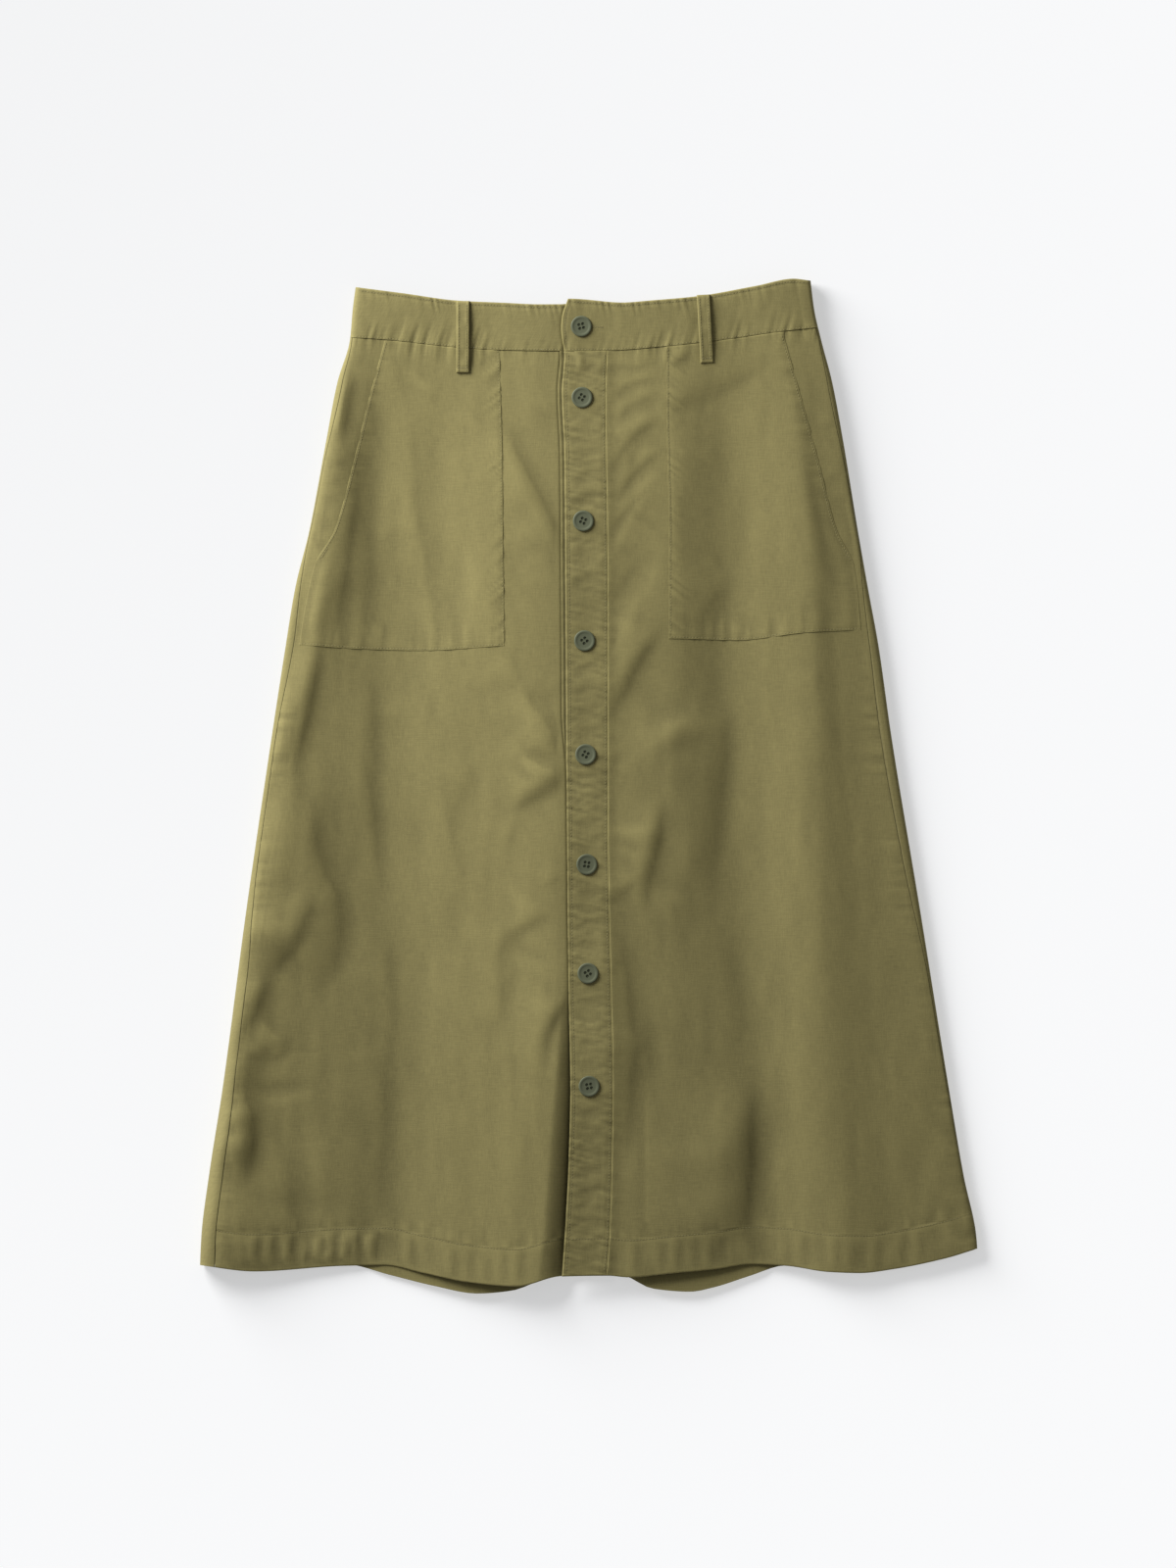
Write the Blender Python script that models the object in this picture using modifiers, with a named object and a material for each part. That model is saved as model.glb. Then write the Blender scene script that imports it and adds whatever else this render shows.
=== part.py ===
"""A-line utility skirt with a buttoned front, laid flat on its back.

Metres, +X to the right of the laid skirt, +Y towards its waist, +Z up from the surface it lies on.
Left and right in names are the wearer's, so the wearer's right front lies on the -X side.
The tables below hold real sizes in millimetres.
"""

import math

import bpy
from mathutils import Matrix, Vector

MM = 0.001

# Walls and the clearances between them
GAP = 0.3
SIDE_SEAM_GAP = 0.5
PANEL_WALL = 1.2
HEM_WALL = 1.6
POCKET_WALL = 1.0
PLACKET_WALL = 2.0
WAISTBAND_WALL = 2.0
LOOP_WALL = 1.2
HEM_DEPTH = 30.0

# How high the outer face of each upper piece lies over the outer face of the front panels
PLACKET_LIFT = 0.8
WAISTBAND_LIFT = 1.3
LOOP_BOW = 1.0

# The waist end of the back rides on its belt loops
BACK_LOOP_LIFT = LOOP_WALL + GAP
BACK_LIFT_FROM = 312.0
BACK_LIFT_TO = 255.0

# Outline of the laid skirt: its side folds at each height
SIDE_FOLDS = (
    # y, left fold x, right fold x
    (395.0, -181.2, 173.0),
    (372.0, -184.2, 175.9),
    (348.0, -186.4, 181.4),
    (315.0, -196.2, 190.0),
    (270.0, -204.8, 198.4),
    (200.0, -217.9, 209.9),
    (155.0, -229.0, 217.8),
    (109.0, -236.6, 226.2),
    (40.0, -247.2, 236.0),
    (-98.0, -267.4, 258.8),
    (-235.0, -285.6, 280.9),
    (-304.0, -296.4, 292.6),
    (-350.0, -302.2, 302.3),
    (-380.0, -303.6, 304.4),
)

# Top edge, waistband seam, pocket foot and hems, across the skirt
WAIST_TOP = (
    # x, y
    (-181.6, 389.4),
    (-145.0, 384.6),
    (-102.0, 378.8),
    (-66.0, 377.1),
    (-39.0, 375.9),
    (15.0, 376.5),
    (51.0, 379.1),
    (83.0, 382.0),
    (130.0, 390.2),
    (160.0, 395.9),
    (173.0, 394.4),
)
WAIST_SEAM = (
    # x, y
    (-186.0, 350.0),
    (-158.0, 348.2),
    (-105.0, 342.5),
    (-70.0, 340.1),
    (-20.0, 339.3),
    (16.0, 339.7),
    (60.0, 343.0),
    (115.0, 349.6),
    (145.0, 354.0),
    (178.0, 357.6),
)
POCKET_FOOT = (
    # x, y
    (-236.0, 111.0),
    (-178.0, 106.8),
    (-130.0, 105.6),
    (-65.0, 109.3),
    (62.0, 114.9),
    (114.0, 113.6),
    (174.0, 120.0),
    (224.0, 122.0),
)
FRONT_HEM = (
    # x, y
    (-303.5, -373.4),
    (-260.0, -378.4),
    (-190.0, -374.2),
    (-160.0, -373.8),
    (-129.0, -379.9),
    (-95.0, -386.8),
    (-57.0, -390.0),
    (-21.0, -382.2),
    (15.0, -381.7),
    (31.0, -383.0),
    (66.0, -379.9),
    (99.0, -376.8),
    (127.0, -373.0),
    (154.0, -374.2),
    (187.0, -378.8),
    (212.0, -379.7),
    (237.0, -376.8),
    (278.0, -368.4),
    (303.0, -360.8),
)
BACK_HEM = (
    # x, y
    (-303.5, -373.4),
    (-190.0, -373.2),
    (-154.0, -381.7),
    (-121.0, -389.8),
    (-87.0, -395.8),
    (-61.0, -393.7),
    (-31.0, -383.7),
    (12.0, -378.0),
    (31.0, -383.0),
    (50.0, -392.0),
    (79.0, -394.4),
    (99.0, -390.6),
    (124.0, -382.6),
    (154.0, -374.0),
    (212.0, -376.0),
    (278.0, -366.0),
    (303.0, -360.8),
)

# Long lines of the front: the pockets' openings and inner edges
FRONT_LINES = (
    # y, right opening, right pocket, left pocket, left opening
    (350.0, -158.5, -69.9, 60.6, 152.6),
    (300.0, -172.0, -68.4, 60.6, 166.6),
    (255.0, -183.0, -67.1, 61.4, 179.0),
    (200.0, -198.5, -66.6, 62.5, 193.6),
    (172.0, -214.0, -66.2, 62.5, 207.0),
    (110.0, -226.0, -65.4, 62.5, 213.5),
    (36.0, -236.0, -66.0, 64.0, 221.0),
    (-100.0, -249.0, -68.0, 66.0, 243.0),
    (-234.0, -262.0, -70.0, 69.0, 264.0),
    (-300.0, -270.0, -71.0, 70.0, 274.0),
    (-395.0, -277.0, -72.0, 72.0, 288.0),
)
RIGHT_OPENING, RIGHT_POCKET, LEFT_POCKET, LEFT_OPENING = 1, 2, 3, 4

# The placket's free edge, which the waistband's end carries on, and its seam
PLACKET_EDGE = (
    # y, x
    (380.5, -16.2),
    (366.0, -20.9),
    (357.0, -21.6),
    (335.0, -19.0),
    (309.0, -20.9),
    (257.0, -18.9),
    (155.0, -18.2),
    (-151.0, -15.9),
    (-234.0, -14.4),
    (-300.0, -15.9),
    (-333.0, -17.6),
    (-382.0, -20.8),
)
PLACKET_SEAM = (
    # y, x
    (350.0, 15.2),
    (305.0, 13.5),
    (155.0, 15.1),
    (-21.0, 15.1),
    (-151.0, 17.3),
    (-234.0, 18.9),
    (-300.0, 18.1),
    (-350.0, 16.5),
    (-382.0, 14.0),
)

# Side seams: how far in from the fold they lie on the front
SIDE_SEAMS = (
    # y, right seam, left seam
    (350.0, 1.5, 1.5),
    (305.0, 4.5, 4.0),
    (250.0, 1.5, 2.0),
    (195.0, 1.0, 0.4),
    (155.0, 4.0, 4.0),
    (110.0, 6.0, 7.0),
    (36.0, 3.5, 8.5),
    (-60.0, 4.0, 7.0),
    (-150.0, 8.0, 2.2),
    (-212.0, 8.5, 1.5),
    (-280.0, 11.0, 0.4),
    (-395.0, 12.0, 0.2),
)

# The front's main folds: the place and the height of each long crest or valley at seven stations
FOLD_STATIONS = (392.0, 345.0, 240.0, 110.0, -60.0, -210.0, -385.0)
FOLDS = (
    # name, x at each station, height of the panels' outer face at each station
    (
        "right crest",
        (-172, -177, -197, -219, -244, -262, -287),
        (11.4, 11.2, 11.0, 11.2, 11.6, 11.6, 11.0),
    ),
    (
        "right valley",
        (-150, -158, -169, -161, -159, -150, -156),
        (11.2, 10.6, 7.0, 5.8, 5.2, 4.8, 4.4),
    ),
    (
        "right rise",
        (-110, -118, -130, -112, -104, -100, -100),
        (11.6, 11.4, 10.8, 11.0, 10.6, 9.8, 9.4),
    ),
    (
        "right crown",
        (-50, -50, -50, -44, -40, -40, -42),
        (12.6, 13.2, 15.2, 16.6, 16.6, 16.4, 15.6),
    ),
    (
        "placket",
        (0, 0, 0, 0, 2, 4, -2),
        (12.8, 13.4, 15.0, 15.8, 15.6, 15.0, 13.4),
    ),
    (
        "left slope",
        (60, 60, 64, 62, 62, 66, 70),
        (12.4, 12.6, 12.0, 11.6, 11.0, 10.0, 8.6),
    ),
    (
        "left valley",
        (104, 106, 110, 106, 112, 129, 138),
        (11.8, 11.2, 9.4, 7.6, 6.2, 5.6, 4.8),
    ),
    (
        "left crown",
        (140, 150, 166, 174, 178, 184, 192),
        (12.0, 12.2, 12.8, 12.8, 12.4, 12.2, 11.6),
    ),
    (
        "left shelf",
        (152, 162, 179, 193, 210, 228, 248),
        (11.4, 11.2, 10.6, 10.0, 9.6, 9.2, 8.6),
    ),
    (
        "left brow",
        (163, 171, 191, 213, 240, 267, 295),
        (10.6, 10.0, 9.2, 8.8, 8.6, 8.6, 8.6),
    ),
)
UNDER_ROLL = 4.0
FOLD_MIDDLE = 0.44
FOLD_BLUNT_X = 2 / 3.2
FOLD_BLUNT_Z = 2 / 2.3

# The right front dips where it runs under the placket's edge
UNDERLAP_DIP = (
    # y, depth, width of the dip beside the placket's edge
    (395.0, 1.6, 9.0),
    (100.0, 1.6, 9.0),
    (-150.0, 2.2, 11.0),
    (-260.0, 4.0, 15.0),
    (-395.0, 6.0, 18.0),
)
WAISTBAND_DIP = 2.6
UNDERLAP_SHORT = 1.0
OVERLAP_RISE = 4.2
OVERLAP_RISE_LENGTH = 50.0
BACK_WAIST_DROP = 1.5

# Belt loops
LOOP_WIDTH = 10.0
FRONT_LOOPS = (
    # name, top x, top y, foot x, foot y
    ("belt_loop_front_right", -98.2, 378.6, -98.4, 322.4),
    ("belt_loop_front_left", 89.2, 383.4, 92.2, 330.0),
)
BACK_LOOPS = (
    # name, centre x
    ("belt_loop_back_right", -104.0),
    ("belt_loop_back_centre", -4.0),
    ("belt_loop_back_left", 96.0),
)
BACK_LOOP_LENGTH = 54.0

# Buttons
BUTTON_RADIUS = 8.3
BUTTON_HOLE = 0.95
BUTTON_HOLE_OUT = 1.75
BUTTON_HEIGHTS_DOWN = (358.7, 303.2, 206.9, 113.5, 24.8, -60.9, -145.8, -233.8)
BUTTON_TOP_X = -5.9
BUTTON_LEAN = 0.0103
BUTTON_PROFILE = (
    # radius, height: dish, rim, underside
    (0.0, 1.7),
    (5.2, 1.7),
    (6.3, 2.3),
    (7.2, 2.6),
    (8.0, 2.2),
    (8.3, 1.3),
    (7.6, 0.3),
    (6.4, 0.0),
    (0.0, 0.0),
)

# Steps of the sheets
ROWS_TO_FOOT = 9
ROWS_TO_HEM = 15
ROWS_IN_HEM = 2
ROWS = ROWS_TO_FOOT + ROWS_TO_HEM + ROWS_IN_HEM
POCKET_STEPS = 11
CENTRE_STEPS = 6
PLACKET_STEPS = 4
ROLL_STEPS = 4
BACK_STEPS = 17
BAND_STEPS = 10
BAND_ROWS = 3
SIDE_STEPS = 3
DIP_STEPS = 2
LOOP_STEPS = 7
BUTTON_STEPS = 16
DRILL_SIDES = 6
DRILL_LENGTH = 10.0
SEAM_SETTLE = 0.6
ARC_STEP = 0.005
JUST_INSIDE = 0.01

COLLECTION = bpy.data.collections.new("utility_skirt")
UP = math.pi / 2


def clear_scene():
    for old in list(bpy.data.objects):
        bpy.data.objects.remove(old, do_unlink=True)
    bpy.context.scene.collection.children.link(COLLECTION)


def mix(a, b, t):
    return a + (b - a) * t


def ease(t):
    t = min(max(t, 0.0), 1.0)
    return t * t * (3 - 2 * t)


def through(knots, values, at, flat_ends=False):
    """A smooth curve through the values at rising knots. It never swings past them."""
    last = len(knots) - 1
    at = min(max(at, knots[0]), knots[last])
    i = 0
    while i < last - 1 and at > knots[i + 1]:
        i += 1
    slopes = [(values[k + 1] - values[k]) / (knots[k + 1] - knots[k]) for k in range(last)]

    def tangent(k):
        if k in (0, last):
            return 0.0 if flat_ends else slopes[min(k, last - 1)]
        before, after = slopes[k - 1], slopes[k]
        if before * after <= 0:
            return 0.0
        return 2 * before * after / (before + after)

    span = knots[i + 1] - knots[i]
    t = (at - knots[i]) / span
    rise = values[i + 1] - values[i]
    start, end = tangent(i) * span, tangent(i + 1) * span
    return values[i] + t * (start + t * ((3 * rise - 2 * start - end) + t * (start + end - 2 * rise)))


def down(table, y, column=1):
    """Reads a column of a table whose rows run down the skirt."""
    rows = table[::-1]
    return through([row[0] for row in rows], [row[column] for row in rows], y)


def across(table, x):
    """Reads a table whose rows run across the skirt."""
    return through([row[0] for row in table], [row[1] for row in table], x)


def meet(x_at, y_at, x=0.0):
    """Where a line down the skirt, x_at(y), crosses a line across it, y_at(x)."""
    for _ in range(5):
        x = x_at(y_at(x))
    return x, y_at(x)


def fold_line(index, y):
    """Place and height of one main fold."""
    _, places, heights = FOLDS[index]
    knots = FOLD_STATIONS[::-1]
    return through(knots, places[::-1], y), through(knots, heights[::-1], y)


def underside(y):
    """Height of the back's outer face: its waist end rides on the back belt loops."""
    return BACK_LOOP_LIFT * ease((y - BACK_LIFT_TO) / (BACK_LIFT_FROM - BACK_LIFT_TO))


class SideFold:
    """One of the two folds along the skirt's sides, at one height."""

    def __init__(self, y, plus_x):
        self.inward = -1 if plus_x else 1
        self.x = down(SIDE_FOLDS, y, 2 if plus_x else 1)
        line_x, self.top = fold_line(-1 if plus_x else 0, y)
        self.reach = abs(line_x - self.x)
        self.low = underside(y)
        self.middle = mix(self.low, self.top, FOLD_MIDDLE)
        self.seam_inset = down(SIDE_SEAMS, y, 2 if plus_x else 1)

    def angle(self, inset):
        """Angle round the fold of a point this far in: 0 at the fold, 90 degrees on top."""
        return math.acos((1 - min(inset / self.reach, 1.0)) ** (1 / FOLD_BLUNT_X))

    def point(self, angle, lift=0.0):
        """A blunt oval on top, so that the wall has room to turn, and a round quarter below."""
        if angle > 0:
            inset = self.reach * (1 - max(math.cos(angle), 0.0) ** FOLD_BLUNT_X)
            height = mix(self.middle, self.top + lift, math.sin(angle) ** FOLD_BLUNT_Z)
        else:
            inset = UNDER_ROLL * (1 - math.cos(angle))
            height = mix(self.middle, self.low, -math.sin(angle))
        return self.x + self.inward * inset, height

    def along(self, angle, distance):
        """The angle this far round the face from another one, towards the top if above 0."""
        turn = math.copysign(ARC_STEP, distance)
        gone = 0.0
        last = self.point(angle)
        while gone < abs(distance):
            angle += turn
            here = self.point(angle)
            gone += math.dist(last, here)
            last = here
        return angle


def front_height(x, y):
    """Height of the front panels' outer face."""
    for plus_x in (False, True):
        fold = SideFold(y, plus_x)
        inset = (x - fold.x) * fold.inward
        if inset < fold.reach:
            return fold.point(fold.angle(max(inset, 0.0)))[1]
    lines = [fold_line(k, y) for k in range(len(FOLDS))]
    return through([line[0] for line in lines], [line[1] for line in lines], x, flat_ends=True)


def underlap_sink(x, y, depth):
    """How far the right front lies below the free surface where it runs under the left one."""
    width = down(UNDERLAP_DIP, y, 2)
    return depth * ease((x - down(PLACKET_EDGE, y) + width) / (width - 1.0))


def row_y(x, row, hem=FRONT_HEM):
    """Height on the skirt of one row of the panels, 0 at the waistband seam."""
    foot = across(POCKET_FOOT, x)
    turn = across(hem, x) + HEM_DEPTH
    if row <= ROWS_TO_FOOT:
        return mix(across(WAIST_SEAM, x) - GAP / 2, foot, row / ROWS_TO_FOOT)
    if row <= ROWS_TO_FOOT + ROWS_TO_HEM:
        return mix(foot, turn, (row - ROWS_TO_FOOT) / ROWS_TO_HEM)
    return mix(turn, turn - HEM_DEPTH, (row - ROWS_TO_FOOT - ROWS_TO_HEM) / ROWS_IN_HEM)


def on_row(x_at, row, hem=FRONT_HEM):
    return meet(x_at, lambda x: row_y(x, row, hem))[0]


def between(start, end, steps, crowd_start=1.0, crowd_end=1.0):
    """Places from start up to end, end left out, drawn closer together at one end."""
    shares = [1 - (1 - (k / steps) ** crowd_start) ** crowd_end for k in range(steps)]
    return [mix(start, end, share) for share in shares]


def front_points(places, row, lift=0.0):
    """Points over the front panels' outer face, at these places across a row."""
    points = [(x, row_y(x, row)) for x in places]
    return [(x, y, front_height(x, y) + lift) for x, y in points]


def side_points(row, plus_x, opening):
    """A front panel's points from its side seam to just short of the pocket's opening line."""
    seam_x = on_row(lambda y: seam_point(y, plus_x)[0], row)
    fold = SideFold(row_y(seam_x, row), plus_x)
    seam = fold.angle(fold.seam_inset)
    settled = fold.along(seam, SEAM_SETTLE)
    end = fold.angle(abs(opening - fold.x))
    turns = [fold.along(seam, SIDE_SEAM_GAP / 2)]
    turns += [mix(settled, end, k / SIDE_STEPS) for k in range(SIDE_STEPS)]
    points = []
    for turn in turns:
        x, z = fold.point(turn)
        points.append((x, row_y(x, row), z))
    return points


def seam_point(y, plus_x):
    fold = SideFold(y, plus_x)
    return fold.point(fold.angle(fold.seam_inset))


def right_front_row(row):
    """Outer face of the right front, from its side seam to its end under the placket."""
    opening = on_row(lambda y: down(FRONT_LINES, y, RIGHT_OPENING), row)
    pocket = on_row(lambda y: down(FRONT_LINES, y, RIGHT_POCKET), row)
    edge = on_row(lambda y: down(PLACKET_EDGE, y), row)
    end = on_row(lambda y: down(PLACKET_SEAM, y) - UNDERLAP_SHORT, row)
    flat = between(opening, pocket, POCKET_STEPS, crowd_start=1.3)
    flat += between(pocket, edge, CENTRE_STEPS) + between(edge, end, PLACKET_STEPS) + [end]
    points = side_points(row, False, opening)
    for x in flat:
        y = row_y(x, row)
        sink = underlap_sink(x, y, down(UNDERLAP_DIP, y))
        points.append((x, y, front_height(x, y) - sink))
    return points


def left_front_row(row):
    """Outer face of the left front, from the placket seam to its side seam."""
    start = on_row(lambda y: down(PLACKET_SEAM, y) + GAP / 2, row)
    pocket = on_row(lambda y: down(FRONT_LINES, y, LEFT_POCKET), row)
    opening = on_row(lambda y: down(FRONT_LINES, y, LEFT_OPENING), row)
    flat = between(start, pocket, CENTRE_STEPS)
    flat += between(pocket, opening, POCKET_STEPS, crowd_end=1.3) + [opening]
    return front_points(flat, row) + side_points(row, True, opening)[::-1]


def placket_row(row):
    """Inner face of the placket, which hangs over the right front."""
    edge = on_row(lambda y: down(PLACKET_EDGE, y), row)
    seam = on_row(lambda y: down(PLACKET_SEAM, y) - GAP / 2, row)
    return front_points(between(edge, seam, PLACKET_STEPS) + [seam], row, PLACKET_LIFT - PLACKET_WALL)


def pocket_rows(panel_rows, first):
    """Inner face of a patch pocket: the panel's own points, moved out."""
    last = first + POCKET_STEPS + 1
    return [[(x, y, z + GAP) for x, y, z in row[first:last]] for row in panel_rows[: ROWS_TO_FOOT + 1]]


def under_points(row_at, steps):
    """The back's outer face from the +X fold to the -X fold, both left out."""
    points = []
    for k in range(steps + 1):
        share = k / steps

        def x_at(y, share=share):
            from_x = SideFold(y, True).x - UNDER_ROLL
            to_x = SideFold(y, False).x + UNDER_ROLL
            return mix(from_x, to_x, share)

        x, y = meet(x_at, row_at)
        points.append((x, y, underside(y)))
    return points


def back_row(row):
    """Outer face of the back: from the +X side seam under the skirt to the -X one."""
    sides = []
    for plus_x in (True, False):
        fold_x = on_row(lambda y: SideFold(y, plus_x).x, row)
        fold = SideFold(row_y(fold_x, row), plus_x)
        seam = fold.angle(fold.seam_inset)
        settled = fold.along(seam, -SEAM_SETTLE)
        turns = [fold.along(seam, -SIDE_SEAM_GAP / 2), settled]
        turns += [mix(settled, -UP, k / ROLL_STEPS) for k in range(1, ROLL_STEPS)]
        points = []
        for turn in turns:
            x, z = fold.point(turn)
            hem = FRONT_HEM if turn > 0 else BACK_HEM
            points.append((x, row_y(x, row, hem), z))
        sides.append(points)
    under = under_points(lambda x: row_y(x, row, BACK_HEM), BACK_STEPS)
    return sides[0] + under + sides[1][::-1]


def band_y(x, row, rise=0.0):
    """Height on the skirt of one row of the waistband, 0 at its top edge."""
    return mix(across(WAIST_TOP, x) + rise, across(WAIST_SEAM, x) + GAP / 2, row / BAND_ROWS)


def overlap_rise(x):
    """The waistband's upper end stands a little above its lower one."""
    edge = PLACKET_EDGE[0][1]
    return OVERLAP_RISE * (1 - ease((x - edge) / OVERLAP_RISE_LENGTH))


def band_fold(row, plus_x):
    """The waistband's points round a side fold, from the top to the underside, ends left out."""
    _, y = meet(lambda y: SideFold(y, plus_x).x, lambda x: band_y(x, row))
    fold = SideFold(y, plus_x)
    points = []
    for k in range(1, 2 * ROLL_STEPS):
        x, z = fold.point(mix(UP, -UP, k / (2 * ROLL_STEPS)), WAISTBAND_LIFT)
        points.append((x, y, z))
    return points


def waistband_row(row):
    """Outer face of the waistband, from its upper end once round to its lower end."""

    def over_y(x):
        return band_y(x, row, overlap_rise(x))

    def under_y(x):
        return band_y(x, row)

    def back_y(x):
        return band_y(x, row, -BACK_WAIST_DROP)

    edge, _ = meet(lambda y: down(PLACKET_EDGE, y), over_y)
    seam, _ = meet(lambda y: down(PLACKET_SEAM, y), over_y)
    brow, _ = meet(lambda y: fold_line(-1, y)[0], over_y)
    over = between(edge, seam, PLACKET_STEPS) + between(seam, brow, BAND_STEPS) + [brow]
    over = [(x, over_y(x), front_height(x, over_y(x)) + WAISTBAND_LIFT) for x in over]
    crest, _ = meet(lambda y: fold_line(0, y)[0] + JUST_INSIDE, under_y)
    dip, _ = meet(lambda y: down(PLACKET_EDGE, y) - down(UNDERLAP_DIP, y, 2), under_y)
    edge, _ = meet(lambda y: down(PLACKET_EDGE, y), under_y)
    end, _ = meet(lambda y: down(PLACKET_SEAM, y) - UNDERLAP_SHORT, under_y)
    below = between(crest, dip, BAND_STEPS) + between(dip, edge, DIP_STEPS)
    below += between(edge, end, PLACKET_STEPS) + [end]
    under = []
    for x in below:
        y = under_y(x)
        sink = underlap_sink(x, y, WAISTBAND_DIP)
        under.append((x, y, front_height(x, y) + WAISTBAND_LIFT - sink))
    right, left = band_fold(row, False), band_fold(row, True)
    return over + left + under_points(back_y, BACK_STEPS) + right[::-1] + under


def cloth(name, rows, wall, material, outward=False, shares=None):
    """A sheet through rows of points, rows running to -Y and columns to +X on the upper side.

    The points are the sheet's outer face, or with outward its inner one. shares gives each row's
    share of the wall where that isn't the same all over.
    """
    count = len(rows[0])
    mesh = bpy.data.meshes.new(name)
    verts = [Vector(point) * MM for row in rows for point in row]
    faces = []
    for r in range(len(rows) - 1):
        for c in range(count - 1):
            first = r * count + c
            faces.append((first, first + count, first + count + 1, first + 1))
    mesh.from_pydata(verts, [], faces)
    mesh.materials.append(material)
    mesh.shade_smooth()
    sheet = bpy.data.objects.new(name, mesh)
    COLLECTION.objects.link(sheet)
    facets = sheet.modifiers.new("facets", "TRIANGULATE")
    facets.quad_method = "FIXED"
    solid = sheet.modifiers.new("wall", "SOLIDIFY")
    solid.thickness = wall * MM
    solid.offset = 1.0 if outward else -1.0
    if shares:
        group = sheet.vertex_groups.new(name="wall")
        for r, share in enumerate(shares):
            group.add(list(range(r * count, (r + 1) * count)), share, "REPLACE")
        solid.vertex_group = group.name
    return sheet


def panel(name, row_points, material):
    """A panel with its hem turned up, which doubles the wall there."""
    rows = [row_points(row) for row in range(ROWS + 1)]
    turned = ROWS_TO_FOOT + ROWS_TO_HEM
    shares = [PANEL_WALL / HEM_WALL if row < turned else 1.0 for row in range(ROWS + 1)]
    cloth(name, rows, HEM_WALL, material, shares=shares)
    return rows


def front_loop(name, top_x, top_y, foot_x, foot_y, material):
    lean = (foot_x - top_x) / (top_y - foot_y)
    rows = []
    for k in range(LOOP_STEPS + 1):
        t = k / LOOP_STEPS
        y, centre = mix(top_y, foot_y, t), mix(top_x, foot_x, t)
        bow = LOOP_BOW * math.sin(math.pi * t)
        row = []
        for side in (-0.5, 0.0, 0.5):
            x = centre + side * LOOP_WIDTH
            across_y = y + side * LOOP_WIDTH * lean
            row.append((x, across_y, front_height(x, across_y) + WAISTBAND_LIFT + GAP + bow))
        rows.append(row)
    cloth(name, rows, LOOP_WALL, material, outward=True)


def back_loop(name, centre, material):
    """A loop pressed flat between the waistband and the surface."""
    top = across(WAIST_TOP, centre) - BACK_WAIST_DROP
    rows = [
        [(centre + side * LOOP_WIDTH, top - BACK_LOOP_LENGTH * t, LOOP_WALL) for side in (-0.5, 0.5)]
        for t in (0.0, 0.5, 1.0)
    ]
    cloth(name, rows, LOOP_WALL, material)


def button_mesh(material):
    """A turned four-hole button, its underside at the origin."""
    mesh = bpy.data.meshes.new("button")
    verts = [(radius * MM, 0.0, height * MM) for radius, height in BUTTON_PROFILE]
    mesh.from_pydata(verts, [(k, k + 1) for k in range(len(verts) - 1)], [])
    blank = bpy.data.objects.new("button_blank", mesh)
    COLLECTION.objects.link(blank)
    turn = blank.modifiers.new("turn", "SCREW")
    turn.steps = turn.render_steps = BUTTON_STEPS
    turn.use_merge_vertices = True
    turn.merge_threshold = 0.00001
    drills = []
    for k in range(4):
        angle = math.pi / 4 + k * UP
        out = BUTTON_HOLE_OUT * MM
        bpy.ops.mesh.primitive_cylinder_add(
            vertices=DRILL_SIDES,
            radius=BUTTON_HOLE * MM,
            depth=DRILL_LENGTH * MM,
            location=(out * math.cos(angle), out * math.sin(angle), 0.0),
        )
        drill = bpy.context.object
        drill.hide_render = True
        drills.append(drill)
        cut = blank.modifiers.new(f"hole {k}", "BOOLEAN")
        cut.object = drill
    bpy.context.view_layer.update()
    evaluated = blank.evaluated_get(bpy.context.evaluated_depsgraph_get())
    drilled = bpy.data.meshes.new_from_object(evaluated)
    drilled.name = "button"
    drilled.materials.clear()
    drilled.materials.append(material)
    drilled.shade_smooth()
    for helper in drills + [blank]:
        bpy.data.objects.remove(helper, do_unlink=True)
    return drilled


def seat_button(name, mesh, y, lift):
    """Sets a button square on the cloth below it, just clear of the highest point it covers."""
    x = BUTTON_TOP_X + BUTTON_LEAN * (BUTTON_HEIGHTS_DOWN[0] - y)
    reach = BUTTON_RADIUS
    slope_x = (front_height(x + reach, y) - front_height(x - reach, y)) / (2 * reach)
    slope_y = (front_height(x, y + reach) - front_height(x, y - reach)) / (2 * reach)
    normal = Vector((-slope_x, -slope_y, 1.0)).normalized()
    proud = 0.0
    for k in range(BUTTON_STEPS):
        angle = k * 4 * UP / BUTTON_STEPS
        dx, dy = reach * math.cos(angle), reach * math.sin(angle)
        plane = front_height(x, y) + slope_x * dx + slope_y * dy
        proud = max(proud, front_height(x + dx, y + dy) - plane)
    base = Vector((x, y, front_height(x, y) + lift + proud)) + normal * GAP
    button = bpy.data.objects.new(name, mesh)
    tilt = normal.to_track_quat("Z", "Y").to_matrix().to_4x4()
    button.matrix_world = Matrix.Translation(base * MM) @ tilt
    COLLECTION.objects.link(button)


def finish(name, colour, roughness):
    material = bpy.data.materials.new(name)
    material.use_nodes = True
    shader = material.node_tree.nodes["Principled BSDF"]
    shader.inputs["Base Color"].default_value = (*colour, 1.0)
    shader.inputs["Roughness"].default_value = roughness
    shader.inputs["Metallic"].default_value = 0.0
    material.diffuse_color = (*colour, 1.0)
    return material


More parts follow.
